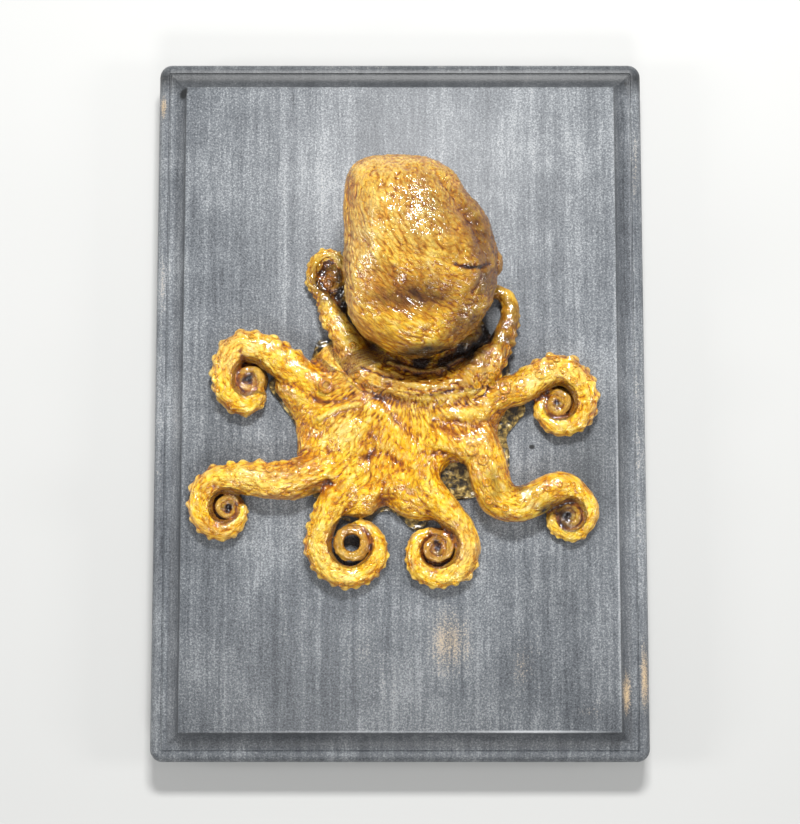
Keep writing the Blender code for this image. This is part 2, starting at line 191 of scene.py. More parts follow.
def edge_levels():
    """(inset, height) of each level of the routed edge, from the underside to the face."""
    levels = [(UNDERSIDE_CHAMFER, 0.0), (0.15 * MM, 0.15 * MM), (0.0, UNDERSIDE_CHAMFER), (0.0, 4 * MM)]
    for step in range(10):
        angle = math.radians(10 * step)
        inset = ROUNDOVER_RADIUS * (1 - math.cos(angle))
        levels.append((inset, ROUNDOVER_START + ROUNDOVER_RADIUS * math.sin(angle)))
    shelf = ROUNDOVER_START + ROUNDOVER_RADIUS
    levels.append((ROUNDOVER_RADIUS + 0.5 * QUIRK_WIDTH, shelf - QUIRK_DEPTH))
    levels.append((ROUNDOVER_RADIUS + QUIRK_WIDTH, shelf - QUIRK_DEPTH))
    cove_start = STEP_INSET - EDGE_BREAK - COVE_RADIUS
    for step in range(9):
        angle = math.radians(9.4 * step)
        inset = cove_start + COVE_RADIUS * math.sin(angle)
        levels.append((inset, shelf + COVE_RADIUS * (1 - math.cos(angle))))
    levels.append((STEP_INSET - EDGE_BREAK, FACE - EDGE_BREAK))
    levels.append((STEP_INSET - 0.3 * EDGE_BREAK, FACE - 0.3 * EDGE_BREAK))
    levels.append((STEP_INSET, FACE))
    return levels


def plaque_level(inset, height):
    """One level: a plane with bevelled corners."""
    select_only()
    bpy.ops.mesh.primitive_plane_add(size=1, location=(0, 0, height))
    level = bpy.context.object
    level.scale = (BOARD_WIDTH - 2 * inset, BOARD_LENGTH - 2 * inset, 1)
    settle(level)
    edit(level)
    radius = max(CORNER_RADIUS - inset, SHARPEST_CORNER)
    bpy.ops.mesh.bevel(offset=radius, offset_type="OFFSET", segments=CORNER_SEGMENTS, affect="VERTICES")
    bpy.ops.object.mode_set(mode="OBJECT")
    return level


def select_loops(piece, per_level, levels):
    """Selects the edges of whole levels of the joined planes."""
    edit(piece, "EDGE", "DESELECT")
    bpy.ops.object.mode_set(mode="OBJECT")
    for edge in piece.data.edges:
        start, end = (vertex // per_level for vertex in edge.vertices)
        edge.select = start == end and start in levels
    bpy.ops.object.mode_set(mode="EDIT")


levels = edge_levels()
plaque = join("plaque", [plaque_level(inset, height) for inset, height in levels])
per_level = len(plaque.data.vertices) // len(levels)
for level in range(len(levels) - 1):
    select_loops(plaque, per_level, (level, level + 1))
    bpy.ops.mesh.bridge_edge_loops()
for level in (0, len(levels) - 1):
    select_loops(plaque, per_level, (level,))
    bpy.ops.mesh.edge_face_add()
bpy.ops.mesh.select_all(action="SELECT")
bpy.ops.mesh.normals_make_consistent(inside=False)
select_only(plaque)
bpy.ops.object.shade_smooth_by_angle(angle=math.radians(40))
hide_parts("board")
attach(plaque, "root")
print("plaque:", len(levels), "levels,", triangles(plaque), "triangles")

# %% [markdown]
# The stain is a thin slate-black dye, so the pine shows through it: growth lines 3 to 4 mm apart run up
# the board, with short pale fibres between them, and the wood is rubbed back to tan along the moulding
# and in a few places on the face. Each of those is an oval at its measured place, broken up by the fibres.
# A painted highlight also runs along the face's sharp edge as a pale line, at the foot and on the right.

# %% Stained pine
# x, y, half width, half length and strength, in millimetres on the plaque
WORN_PATCHES = [
    (12.7, -60.3, 8, 14, 1.0), (31.6, -66.5, 8, 13, 0.85), (57.8, -74.3, 1.9, 9.5, 1.7),
    (62.6, -70.0, 1.9, 15, 1.6), (46.8, -78.4, 9, 5, 0.8), (-62.7, 79.5, 1.8, 5, 1.4),
    (61.8, 60.0, 2.4, 20, 0.8), (-30.0, -60.0, 9, 22, 0.40),
    (-61.8, -20.0, 2.4, 24, 0.6), (0.0, 90.6, 40, 2.0, 0.5), (-8.0, -64.0, 12, 14, 0.40),
    (62.0, 0.0, 2.2, 60, 0.5), (-62.0, 30.0, 2.2, 40, 0.4),
]
# painted highlights along the face's sharp edge, in the same columns
EDGE_PAINTED_HIGHLIGHTS = [(33.0, -83.2, 23, 0.5, 0.9), (-10.0, -83.2, 44, 0.4, 0.35), (55.7, -30.0, 0.45, 52, 0.4)]
# painted shade darkens the top moulding, the top of the board and the board on both sides of the octopus; the
# board is also darker at its foot and lower right, and blackest in the moulding's upper left corner and in
# two pores
STAIN_AND_PAINTED_SHADE_PATCHES = [
    (0.0, 87.5, 900.0, 6.0, 0.95), (0.0, 85.0, 150.0, 70.0, 0.20), (-57.0, 82.5, 1.8, 1.9, 2.2),
    (33.8, -11.2, 1.0, 0.8, 2.0), (59.8, 85.9, 0.8, 0.7, 2.0), (48.0, -16.0, 14.0, 30.0, 0.55),
    (-48.0, -8.0, 14.0, 30.0, 0.25), (40.0, -50.0, 22.0, 20.0, 0.22),
    (0.0, -90.0, 300.0, 50.0, 0.34), (-50.0, -30.0, 20.0, 30.0, 0.2),
]


def patches_of(tree, place, patches):
    """A value of 0 that rises to each patch's strength in a soft oval at its place."""
    value = 0.0
    for x, y, wide, long, strength in patches:
        oval = add_node(
            tree, "ShaderNodeMapping",
            {"Vector": place, "Location": (x * MM, y * MM, 0), "Scale": (wide * MM, long * MM, 1)},
            vector_type="TEXTURE",
        )
        patch = add_node(
            tree, "ShaderNodeTexGradient", {"Vector": oval.outputs["Vector"]}, gradient_type="SPHERICAL"
        )
        part = add_node(
            tree, "ShaderNodeMath", {0: patch.outputs["Fac"], 1: strength}, operation="MULTIPLY"
        ).outputs[0]
        value = add_node(tree, "ShaderNodeMath", {0: value, 1: part}, operation="MAXIMUM").outputs[0]
    return value


def stained_pine():
    made, tree, shader = new_material("black_stained_pine", {"Roughness": 0.48, "Specular IOR Level": 0.55})
    place = add_node(tree, "ShaderNodeTexCoord").outputs["Object"]
    # Growth lines about 3.5 mm apart, fibres 0.5 mm wide and 7 mm long, specks of 0.4 mm and clouds of 2 cm.
    # Each row is how far a pattern is drawn out, its scale, detail and roughness, and its share of the tone.
    tone = 0.0
    for drawn_out, scale, detail, roughness, share in (
        ((1, 0.012, 0.3), 420, 3.0, 0.6, 0.19), ((1, 0.07, 0.5), 1500, 2.0, 0.5, 0.13),
        ((1, 1, 1), 2200, 2.0, 0.8, 0.44), ((1, 1, 1), 45, 4.0, 0.6, 0.24),
    ):
        grain = add_node(tree, "ShaderNodeMapping", {"Vector": place, "Scale": drawn_out}).outputs["Vector"]
        pattern = add_node(
            tree, "ShaderNodeTexNoise",
            {"Vector": grain, "Scale": scale, "Detail": detail, "Roughness": roughness},
        ).outputs["Fac"]
        tone = add_node(
            tree, "ShaderNodeMath", {0: pattern, 1: share, 2: tone}, operation="MULTIPLY_ADD"
        ).outputs[0]
    colour = add_node(
        tree, "ShaderNodeValToRGB", {"Fac": tone},
        stops=[(0.38, "#33363b"), (0.46, "#585c61"), (0.52, "#6d7175"), (0.60, "#9da0a2")],
    ).outputs["Color"]
    height = add_node(tree, "ShaderNodeSeparateXYZ", {"Vector": place}).outputs["Z"]
    up_the_edge = add_node(
        tree, "ShaderNodeMapRange", {"Value": height, "From Min": 11.3 * MM, "From Max": 16.0 * MM}
    ).outputs["Result"]
    # painted shade: the cove is darkened up its wall towards the face's step, where the wall lies in shadow
    cove_painted_shade = add_node(
        tree, "ShaderNodeValToRGB", {"Fac": up_the_edge},
        stops=[(0.0, "#ffffff"), (0.05, "#dededf"), (0.50, "#d0d0d2"), (0.93, "#b4b4b6"), (0.97, "#ffffff")],
    ).outputs["Color"]
    # black stain and painted shade, in one mask
    stain_and_painted_shade = patches_of(tree, place, STAIN_AND_PAINTED_SHADE_PATCHES)
    worn = patches_of(tree, place, WORN_PATCHES)
    # only the raised fibres are rubbed through: the share rises with the wear and with the pattern's own tone
    fibrous = add_node(tree, "ShaderNodeMath", {0: tone, 1: 6.0, 2: worn}, operation="MULTIPLY_ADD")
    rubbed = add_node(
        tree, "ShaderNodeMapRange", {"Value": fibrous.outputs[0], "From Min": 3.72, "From Max": 4.9}
    ).outputs["Result"]
    # painted highlight on the face's sharp edge
    edge_painted_highlight = patches_of(tree, place, EDGE_PAINTED_HIGHLIGHTS)
    for share, layer, blend in (
        (1.0, cove_painted_shade, "MULTIPLY"), (stain_and_painted_shade, "#16181a", "MIX"),
        (rubbed, "#c2a780", "MIX"), (edge_painted_highlight, "#c6c8ca", "MIX"),
    ):
        colour = add_node(
            tree, "ShaderNodeMix", {0: share, 6: colour, 7: layer}, data_type="RGBA", blend_type=blend
        ).outputs[2]
    tree.links.new(colour, shader.inputs["Base Color"])
    bump = add_node(tree, "ShaderNodeBump", {"Height": tone, "Strength": 0.5, "Distance": 0.35 * MM})
    tree.links.new(bump.outputs["Normal"], shader.inputs["Normal"])
    return made


plaque.data.materials.append(stained_pine())

# %% [markdown]
# ## The octopus
# The arms were laid out in curls and dried. Each is a tube that follows a line on the board, measured in
# the photograph against the plaque, and gets thinner to its tip. A thin coil lies in each curl.

# %% Lines of the arms
# reach is the arm's line from the web to its curl, thick its radius at the root, in the middle and at the
# curl, all in millimetres. The curl turns about centre through sweep degrees and shrinks to end_radius. The
# thin coil lies about eye. knobs and discs are the stretches that show suckers at the edge and on top.
# SETTLE is how high an arm's middle lies, in radii, because its underside has dried flat on the board.
SETTLE = 0.74
ARMS = {
    "upper_left": dict(
        reach=[(8.0, 1.5), (-1.0, 3.3), (-8.5, 9.0), (-13.8, 16.5), (-17.4, 22.5), (-20.6, 29.0)],
        thick=(4.3, 3.5, 2.3), lift=4.0, centre=(-18.0, 33.4), squeeze=0.72, hand=-1, end_radius=4.0,
        hold=1.0, sweep=250, end_thick=1.6, eye=(-18.1, 31.4), eye_radius=(1.6, 1.3), eye_turns=0.9,
        eye_thick=(0.9, 0.7), knobs=(0.45, 0.95), discs=(0.22, 0.55), tilt=40,
    ),
    "upper_right": dict(
        reach=[(8.0, 1.5), (16.5, 3.5), (23.3, 10.5), (27.2, 18.5), (28.4, 24.0)],
        thick=(4.3, 3.4, 2.1), lift=4.0, centre=(24.2, 24.8), squeeze=1.0, hand=1, end_radius=3.8,
        hold=1.0, sweep=170, end_thick=1.6, eye=(20.5, 27.0), eye_radius=(2.2, 1.0), eye_turns=0.8,
        eye_thick=(1.3, 0.7), knobs=(0.30, 0.72), discs=(0.25, 0.60), tilt=45,
    ),
    "middle_left": dict(
        reach=[(-5.0, -2.5), (-13.0, 0.5), (-21.0, 4.2), (-28.5, 9.2), (-34.0, 13.0), (-38.0, 14.0)],
        thick=(4.4, 4.4, 3.9), lift=-0.5, centre=(-39.7, 6.8), squeeze=0.66, hand=1, end_radius=7.0,
        hold=1.0, sweep=238, end_thick=2.8, eye=(-38.6, 5.7), eye_radius=(3.3, 0.8), eye_turns=1.8,
        eye_thick=(1.1, 0.6), knobs=(0.42, 1.0), discs=(0.38, 0.90), tilt=48,
    ),
    "lower_left": dict(
        reach=[(-5.0, -7.0), (-12.5, -13.0), (-20.5, -17.6), (-29.0, -20.3), (-37.0, -19.6), (-43.0, -19.5)],
        thick=(4.6, 4.8, 3.9), lift=-0.5, centre=(-44.7, -26.9), squeeze=0.92, hand=1, end_radius=4.6,
        hold=1.0, sweep=280, end_thick=1.8, eye=(-43.8, -26.9), eye_radius=(2.8, 0.8), eye_turns=1.6,
        eye_thick=(0.9, 0.55), knobs=(0.28, 1.0), discs=(0.30, 0.62), tilt=50,
    ),
    "bottom_left": dict(
        reach=[(-3.0, -9.0), (-7.5, -14.5), (-13.0, -20.5), (-17.3, -26.0), (-19.6, -31.5)],
        thick=(4.4, 4.2, 3.3), lift=-0.5, centre=(-11.9, -36.3), squeeze=1.0, hand=1, end_radius=4.7,
        hold=1.5, sweep=290, end_thick=1.7, eye=(-12.1, -35.9), eye_radius=(3.5, 3.1), eye_turns=1.05,
        eye_thick=(1.5, 1.1), knobs=(0.36, 1.0), discs=(0.40, 0.80), tilt=42,
    ),
    "bottom_right": dict(
        reach=[(0.0, -10.0), (3.5, -17.0), (8.5, -24.0), (13.3, -29.3), (16.3, -33.4)],
        thick=(4.3, 4.2, 3.2), lift=-0.5, centre=(9.2, -37.3), squeeze=1.0, hand=-1, end_radius=4.6,
        hold=1.5, sweep=275, end_thick=1.3, eye=(9.4, -36.9), eye_radius=(3.7, 0.9), eye_turns=1.9,
        eye_thick=(1.1, 0.55), knobs=(0.58, 1.0), discs=(0.55, 0.80), tilt=42,
    ),
    "lower_right": dict(
        reach=[
            (2.0, -7.0), (10.0, -7.8), (16.5, -7.6), (20.2, -10.2), (21.9, -15.0), (22.9, -20.0),
            (25.2, -24.4), (29.4, -26.0), (33.6, -24.9), (37.8, -22.7), (41.6, -21.8),
        ],
        thick=(4.0, 5.2, 4.0), lift=-0.5, centre=(42.6, -28.8), squeeze=1.0, hand=-1, end_radius=3.9,
        hold=0.55, sweep=290, end_thick=1.3, eye=(42.9, -29.1), eye_radius=(2.9, 0.7), eye_turns=1.8,
        eye_thick=(0.9, 0.5), knobs=(0.86, 1.0), discs=(0.22, 0.84), tilt=85,
    ),
    "right": dict(
        reach=[(6.0, -4.0), (15.0, -2.2), (24.0, 1.3), (32.0, 4.2), (37.0, 7.3), (40.8, 8.4)],
        thick=(4.2, 4.2, 3.9), lift=-0.5, centre=(40.4, -0.2), squeeze=1.0, hand=-1, end_radius=4.1,
        hold=0.9, sweep=290, end_thick=1.6, eye=(40.2, -0.4), eye_radius=(3.1, 0.7), eye_turns=1.8,
        eye_thick=(0.95, 0.55), knobs=(0.42, 1.0), discs=(0.20, 0.66), tilt=55,
    ),
}


def through(stations, at):
    """A Catmull-Rom curve through stations of any dimension, at 0 for the first and 1 for the last."""
    spans = len(stations) - 1
    index = min(int(at * spans), spans - 1)
    t = at * spans - index
    a, b, c, d = (stations[min(max(index + step, 0), spans)] for step in (-1, 0, 1, 2))
    return tuple(
        0.5 * (2 * q + (r - p) * t + (2 * p - 5 * q + 4 * r - s) * t**2 + (3 * q - p - 3 * r + s) * t**3)
        for p, q, r, s in zip(a, b, c, d)
    )


def curl_point(arm, f):
    """The arm's line and radius in its curl, f from 0 at the start to 1 at the end."""
    cx, cy = arm["centre"]
    x, y = arm["reach"][-1]
    start = math.atan2(y - cy, (x - cx) / arm["squeeze"])
    first = math.hypot(y - cy, (x - cx) / arm["squeeze"])
    shrink = f ** arm["hold"]
    angle = start + arm["hand"] * math.radians(arm["sweep"]) * f
    radius = first + (arm["end_radius"] - first) * shrink
    thick = arm["thick"][-1] + (arm["end_thick"] - arm["thick"][-1]) * shrink
    return cx + arm["squeeze"] * radius * math.cos(angle), cy + radius * math.sin(angle), thick


def outer_stations(arm):
    """(x, y, radius, lift) along the arm from its root to the end of its curl, in millimetres."""
    count = len(arm["reach"])
    stations = []
    for i, (x, y) in enumerate(arm["reach"]):
        share = i / (count - 1)
        (thick,) = through([(t,) for t in arm["thick"]], share)
        stations.append((x, y, thick, arm["lift"] * (1 - share)))
    turns = round(arm["sweep"] / 30)
    for i in range(1, turns + 1):
        stations.append((*curl_point(arm, i / turns), 0.0))
    return stations


def inner_stations(arm):
    """The last, thin coil, which starts inside the end of the curl."""
    x, y, thick = curl_point(arm, 1.0)
    ex, ey = arm["eye"]
    start = math.atan2(y - ey, x - ex)
    stations = [(x, y, arm["eye_thick"][0], 0.0)]
    steps = round(arm["eye_turns"] * 12)
    for i in range(1, steps + 1):
        f = i / steps
        angle = start + arm["hand"] * math.tau * arm["eye_turns"] * f
        radius = arm["eye_radius"][0] + (arm["eye_radius"][1] - arm["eye_radius"][0]) * f
        thick = arm["eye_thick"][0] + (arm["eye_thick"][1] - arm["eye_thick"][0]) * f
        stations.append((ex + radius * math.cos(angle), ey + radius * math.sin(angle), thick, 0.0))
    return stations


def evenly(stations, step):
    """Points (x, y, z, radius, distance) at even steps along the stations, z above the board's face."""
    count = 60 * len(stations)
    fine = [through(stations, i / count) for i in range(count + 1)]
    found, travelled, since = [], 0.0, step
    for i, (x, y, radius, lift) in enumerate(fine):
        if i:
            gone = math.hypot(x - fine[i - 1][0], y - fine[i - 1][1])
            travelled += gone
            since += gone
        if since >= step or i == count:
            found.append((x, y, radius * SETTLE + lift, radius, travelled))
            since = 0.0
    return found


# millimetres between a tube's rings, and how high and over what length the coil rises
STEP = 0.7
COIL_LIFT = 2.4
COIL_RISE = 4


def coil_line(arm):
    """The thin coil's line, which rises onto the skin inside the curl over its first millimetres."""
    return [
        (x, y, z + COIL_LIFT * min(far / COIL_RISE, 1), radius, far)
        for x, y, z, radius, far in evenly(inner_stations(arm), STEP)
    ]


ARM_LINES = {name: (evenly(outer_stations(arm), STEP), coil_line(arm)) for name, arm in ARMS.items()}
for name, (outer, inner) in ARM_LINES.items():
    print(name, "arm:", round(outer[-1][4] + inner[-1][4]), "mm long")

# %% [markdown]
# A tube is a curve whose bevel radius changes from point to point, turned into a mesh. The suckers along an
# arm's edge have dried to knobs. The knob is modelled once, and each copy gets its own mesh.

# %% Tubes and knobs
def tube(name, line, sides=24):
    """A mesh tube along a line of (x, y, z, radius, ...) points in millimetres above the face."""
    select_only()
    bpy.ops.curve.primitive_bezier_curve_add()
    source = bpy.context.object
    source.name = name
    curve = source.data
    curve.splines.clear()
    curve.dimensions = "3D"
    curve.bevel_depth = MM
    curve.bevel_resolution = sides // 2 - 2
    curve.use_fill_caps = True
    spline = curve.splines.new("POLY")
    spline.points.add(len(line) - 1)
    for point, (x, y, z, radius, *rest) in zip(spline.points, line):
        point.co = (x * MM, y * MM, FACE + z * MM, 1.0)
        point.radius = radius
    select_only(source)
    bpy.ops.object.convert(target="MESH")
    piece = bpy.context.object
    edit(piece)
    bpy.ops.mesh.remove_doubles(threshold=0.001 * MM)
    bpy.ops.object.mode_set(mode="OBJECT")
    return piece


def rounded_end(line):
    """The line with its last point drawn in to a blunt round tip."""
    x, y, z, radius, far = line[-1]
    bx, by, *rest = line[-2]
    length = math.hypot(x - bx, y - by) or 1
    ux, uy = (x - bx) / length, (y - by) / length
    tip = []
    for angle in (25, 45, 62, 76, 86):
        a = math.radians(angle)
        out = radius * math.sin(a)
        tip.append((x + ux * out, y + uy * out, z, radius * math.cos(a), far))
    return line + tip


def places_along(line, hand, stretch, tilt, spacing, shift=0.0):
    """(middle, outward direction, arm radius) at even places along an arm, in metres and millimetres."""
    tilt = math.radians(tilt)
    total = line[-1][4]
    place = stretch[0] * total + shift
    i = 0
    while place < stretch[1] * total:
        while i < len(line) - 2 and line[i][4] < place:
            i += 1
        x, y, z, radius, far = line[i]
        ahead, behind = line[i + 1], line[max(i - 1, 0)]
        along = Vector((ahead[0] - behind[0], ahead[1] - behind[1], 0)).normalized()
        side = Vector((along.y, -along.x, 0)) * hand
        outwards = side * math.cos(tilt) + Vector((0, 0, 1)) * math.sin(tilt)
        yield Vector((x * MM, y * MM, FACE + z * MM)), outwards, radius
        place += radius * spacing


def copy_onto(template, spot, outwards, size):
    """A copy of the template with its own mesh, its top facing outwards."""
    copy = template.copy()
    copy.data = template.data.copy()
    bpy.context.collection.objects.link(copy)
    turn = outwards.to_track_quat("Z", "Y").to_matrix().to_4x4()
    copy.matrix_world = Matrix.Translation(spot) @ turn @ Matrix.Diagonal((*size, 1))
    return copy


def make_knob():
    select_only()
    bpy.ops.mesh.primitive_uv_sphere_add(segments=12, ring_count=8, radius=MM)
    knob = bpy.context.object
    knob.name = "knob"
    return knob


ROUGH_ARMS = ("upper_left", "upper_right", "middle_left", "right")
knob = make_knob()
body_parts = []
for name, arm in ARMS.items():
    outer, inner = ARM_LINES[name]
    body_parts.append(tube(name, rounded_end(outer)))
    body_parts.append(tube(name + "_coil", rounded_end(inner), 12))
    # a row's line, stretch, tilt, spacing in arm radii, shift, and its knobs' size as a share of the radius
    rows = [(outer, arm["knobs"], 4, 0.80, 0.0, 0.42), (inner, (0.12, 1.0), 8, 0.95, 0.0, 0.36)]
    if name in ROUGH_ARMS:
        rows.append((outer, arm["knobs"], 36, 0.95, 1.3, 0.30))
    for line, stretch, tilt, spacing, shift, share in rows:
        for middle, outwards, radius in places_along(line, arm["hand"], stretch, tilt, spacing, shift):
            size = radius * share
            spot = middle + outwards * (radius - 0.60 * size) * MM
            body_parts.append(copy_onto(knob, spot, outwards, (size, size, size * 1.2)))
bpy.data.objects.remove(knob)
print(len(body_parts), "arm parts")

# %% [markdown]
# The web between the arms' roots and the mantle are dried bags of skin. Each starts as a cube that is
# subdivided and made a sphere, because its poles stay even. The sphere is then drawn out to the outline
# measured in the photograph, and hollows and swellings are pressed into its top. The collar under the mantle
# and the skin inside the curls are flat ellipsoids.

# %% Rounded bodies with a measured outline
def closed_curve(points, samples):
    """Points of a smooth closed curve through the given ones, as an array."""
    count = len(points)
    wrapped = [points[i % count] for i in range(-2, count + 3)]
    spans = len(wrapped) - 1
    return np.array([through(wrapped, (2 + count * i / samples) / spans) for i in range(samples)])


def reach_table(outline, centre, directions=720):
    """How far a closed outline lies from its centre, for evenly spread directions."""
    curve = closed_curve(outline, 8 * len(outline)) - centre
    angles = np.arctan2(curve[:, 1], curve[:, 0]) % math.tau
    order = np.argsort(angles)
    asked = np.arange(directions) / directions * math.tau
    return np.interp(asked, angles[order], np.hypot(*curve.T)[order], period=math.tau)


def points_of(piece, kind="co"):
    """The places of a mesh's points, or another vector that each point has."""
    values = np.empty(len(piece.data.vertices) * 3)
    piece.data.vertices.foreach_get(kind, values)
    return values.reshape(-1, 3)


def normals_of(piece):
    return points_of(piece, "normal")


CLEARANCE = 0.02 * MM


def set_points(piece, co):
    piece.data.vertices.foreach_set("co", co.ravel())
    piece.data.update()


def oval(plan, x, y, long, wide, turn):
    """1 in the middle of a soft oval on the plaque, fading to 0 outside it. plan is in millimetres."""
    c, s = math.cos(math.radians(turn)), math.sin(math.radians(turn))
    u = ((plan[:, 0] - x) * c + (plan[:, 1] - y) * s) / long
    v = (-(plan[:, 0] - x) * s + (plan[:, 1] - y) * c) / wide
    return np.exp(-u * u - v * v)


def pebble(name, outline, centre, middle, half_height, fullness, cuts, relief=()):
    """A cube turned into a sphere and drawn out to the outline. Sizes are in millimetres above the face."""
    select_only()
    bpy.ops.mesh.primitive_cube_add(size=2)
    piece = bpy.context.object
    piece.name = name
    edit(piece)
    bpy.ops.mesh.subdivide(number_cuts=cuts)
    bpy.ops.transform.tosphere(value=1.0)
    bpy.ops.object.mode_set(mode="OBJECT")
    co = points_of(piece)
    co /= np.linalg.norm(co, axis=1)[:, None]
    angle = np.arctan2(co[:, 1], co[:, 0]) % math.tau
    table = reach_table(outline, np.array(centre))
    reach = np.interp(angle, np.arange(len(table)) / len(table) * math.tau, table, period=math.tau)
    plan = np.hypot(co[:, 0], co[:, 1]) ** fullness * reach
    spread = np.stack([centre[0] + np.cos(angle) * plan, centre[1] + np.sin(angle) * plan], axis=1)
    z = middle + half_height * co[:, 2]
    for x, y, long, wide, turn, swell in relief:
        z += swell * oval(spread, x, y, long, wide, turn) * np.clip(co[:, 2] * 1.5, 0, 1)
    set_points(piece, np.column_stack([spread * MM, FACE + z * MM]))
    return piece


def ellipsoid(name, centre, size):
    select_only()
    x, y, z = centre
    bpy.ops.mesh.primitive_uv_sphere_add(
        segments=40, ring_count=20, radius=MM, location=(x * MM, y * MM, FACE + z * MM)
    )
    piece = bpy.context.object
    piece.name = name
    piece.scale = size
    return piece


# %% Web, folds and collar
WEB_OUTLINE = [
    (25.0, 13.5), (7.7, 16.0), (-10.0, 16.0), (-19.2, 14.7), (-23.9, 9.8), (-32.3, 5.3), (-29.8, 0.0),
    (-27.2, -4.2), (-26.2, -9.8), (-26.1, -15.8), (-21.4, -22.1), (-17.2, -28.0), (-8.9, -29.3),
    (-3.8, -26.3), (2.0, -29.8), (10.6, -29.4), (10.9, -22.4), (10.3, -18.3), (14.7, -15.3), (21.3, -17.3),
    (26.2, -12.2), (25.0, -7.1), (28.0, 1.0), (24.8, 7.8),
]
WEB_RELIEF = [
    (-13.9, -8.0, 4.0, 4.0, 0, 0.9), (-7.4, -15.0, 6.0, 1.8, 80, -1.2), (2.0, -4.0, 3.0, 2.0, -45, -0.5),
]
# the line of each fold's crest, its radius and its height above the face
WEB_FOLDS = [
    ([(-21.5, -5.5), (-16.0, -2.4), (-10.0, -1.2), (-7.5, -4.0), (-8.6, -9.5)], 2.4, 8.9),
    ([(-8.5, 1.5), (-3.0, -4.6), (2.5, -9.6), (7.5, -13.0)], 2.3, 9.2),
    ([(2.0, 1.0), (9.5, -1.8), (17.5, -3.4), (22.0, -2.6)], 2.6, 8.8),
    ([(-16.0, -6.0), (-13.0, -12.0), (-11.5, -18.0)], 3.6, 8.6),
    ([(-4.5, -21.5), (1.0, -19.5), (6.5, -22.0)], 2.2, 8.2),
    ([(-13.5, 13.0), (-8.0, 6.8), (0.0, 3.2), (8.0, 2.4), (15.0, 4.4), (21.5, 9.0), (26.0, 14.0)], 4.4, 9.6),
]
body_parts.append(pebble(
    "web", WEB_OUTLINE, (0.0, -7.0), middle=0.0, half_height=8.0, fullness=0.55, cuts=60, relief=WEB_RELIEF
))
for number, (line, radius, crest) in enumerate(WEB_FOLDS):
    stations = [
        (x, y, radius * (0.6 if i in (0, len(line) - 1) else 1.0), crest - radius * (1 + SETTLE))
        for i, (x, y) in enumerate(line)
    ]
    body_parts.append(tube(f"fold_{number}", rounded_end(evenly(stations, STEP)), 16))
body_parts.append(ellipsoid("collar", (5.5, 14.5, 1.0), (18.5, 13.0, 4.6)))
# dried skin closes the inside of each curl, apart from the open one
CURL_FLOORS = [
    (-17.6, 31.6, 4.6, 5.6, 3.6), (-15.0, 27.0, 2.2, 5.5, 2.8), (-38.8, 5.6, 4.8, 5.2, 2.4),
    (-43.9, -26.9, 4.6, 4.6, 2.2), (9.5, -36.9, 5.2, 5.2, 2.3), (42.9, -29.0, 4.8, 4.8, 2.3),
    (40.2, -0.4, 4.8, 4.8, 2.3),
]
for number, (x, y, wide, long, high) in enumerate(CURL_FLOORS):
    body_parts.append(ellipsoid(f"curl_floor_{number}", (x, y, 0.2), (wide, long, high)))

FULL_VOXEL = 0.28 * MM
VOXEL = FULL_VOXEL


def grow_together(name, pieces):
    """Joins overlapping pieces under one closed, evenly meshed skin."""
    piece = join(name, pieces)
    apply_modifier(piece, "REMESH", mode="VOXEL", voxel_size=VOXEL)
    apply_modifier(piece, "SMOOTH", factor=0.5, iterations=4)
    return piece


body = grow_together("octopus_body", body_parts)
print("arms, web and collar:", triangles(body), "triangles")

# %% Mantle
MANTLE_OUTLINE = [
    (24.2, 33.0), (22.7, 44.0), (16.4, 52.6), (11.3, 59.0), (1.0, 61.4), (-9.2, 60.4), (-13.7, 54.0),
    (-14.0, 38.5), (-13.8, 27.0), (-11.2, 18.3), (-3.5, 12.0), (6.0, 10.3), (15.2, 14.2), (22.3, 22.5),
]
MANTLE_RELIEF = [
    (4.0, 25.0, 14.0, 6.5, -3, -2.8), (0.0, 15.0, 9.0, 4.0, 0, 0.3), (-5.0, 45.0, 6.0, 9.0, 0, 1.6),
    (17.0, 44.0, 6.0, 7.0, 0, -1.6), (20.0, 27.0, 4.0, 4.0, 0, 1.2), (-12.0, 40.0, 3.0, 10.0, 0, -1.0),
]
mantle = grow_together("octopus_mantle", [
    pebble(
        "mantle", MANTLE_OUTLINE, (5.0, 35.5), middle=13.5, half_height=13.5, fullness=0.80, cuts=90,
        relief=MANTLE_RELIEF,
    ),
    ellipsoid("eye_swelling", (23.9, 34.6, 10.5), (2.2, 3.4, 3.4)),
])
print("mantle:", triangles(mantle), "triangles")

# %% [markdown]
# Drying leaves the skin in creases: deep single ones where it folded, wrinkles about 1 mm wide that run
# along the arms, out over the web and round the collar, and a net of fine ones between them. All are real
# relief here, pressed into the mesh along its normals. How deep each point then lies among its neighbours is
# kept as an attribute, and so is which way it faces, for the painted shade in the creases and hollows and
# the painted light on raised skin and on slopes that face up.

# %% Creases
def groove(plan, line, reach):
    """1 on a line on the plaque, fading to 0 over reach millimetres on both sides."""
    fine = [through(line, i / 24) for i in range(25)]
    best = np.full(len(plan), 1e9)
    for start, end in zip(fine, fine[1:]):
        start, span = np.array(start), np.subtract(end, start)
        share = np.clip((plan - start) @ span / (span @ span), 0, 1)
        away = plan - start - share[:, None] * span
        best = np.minimum(best, (away ** 2).sum(axis=1))
    return np.exp(-best / reach ** 2)


def noise_at(points, seed):
    shift = Vector((seed * 7.3, seed * 3.1, seed * 5.7))
    return np.array([noise.noise(Vector(p) + shift) for p in points.tolist()])


def crease_gap(lay, cell, seed):
    """How far each point lies from a net of creases, 0 on a crease and about 0.5 between them."""
    shift = Vector((seed, 0.7 * seed, 0.3 * seed))
    spots = lay / cell
    warp = np.column_stack([noise_at(spots * 0.9, seed + i) for i in (1, 2, 3)])
    gap = np.empty(len(spots))
    for i, p in enumerate((spots + 0.9 * warp).tolist()):
        near, cells = noise.voronoi(Vector(p) + shift)
        gap[i] = near[1] - near[0]
    return gap


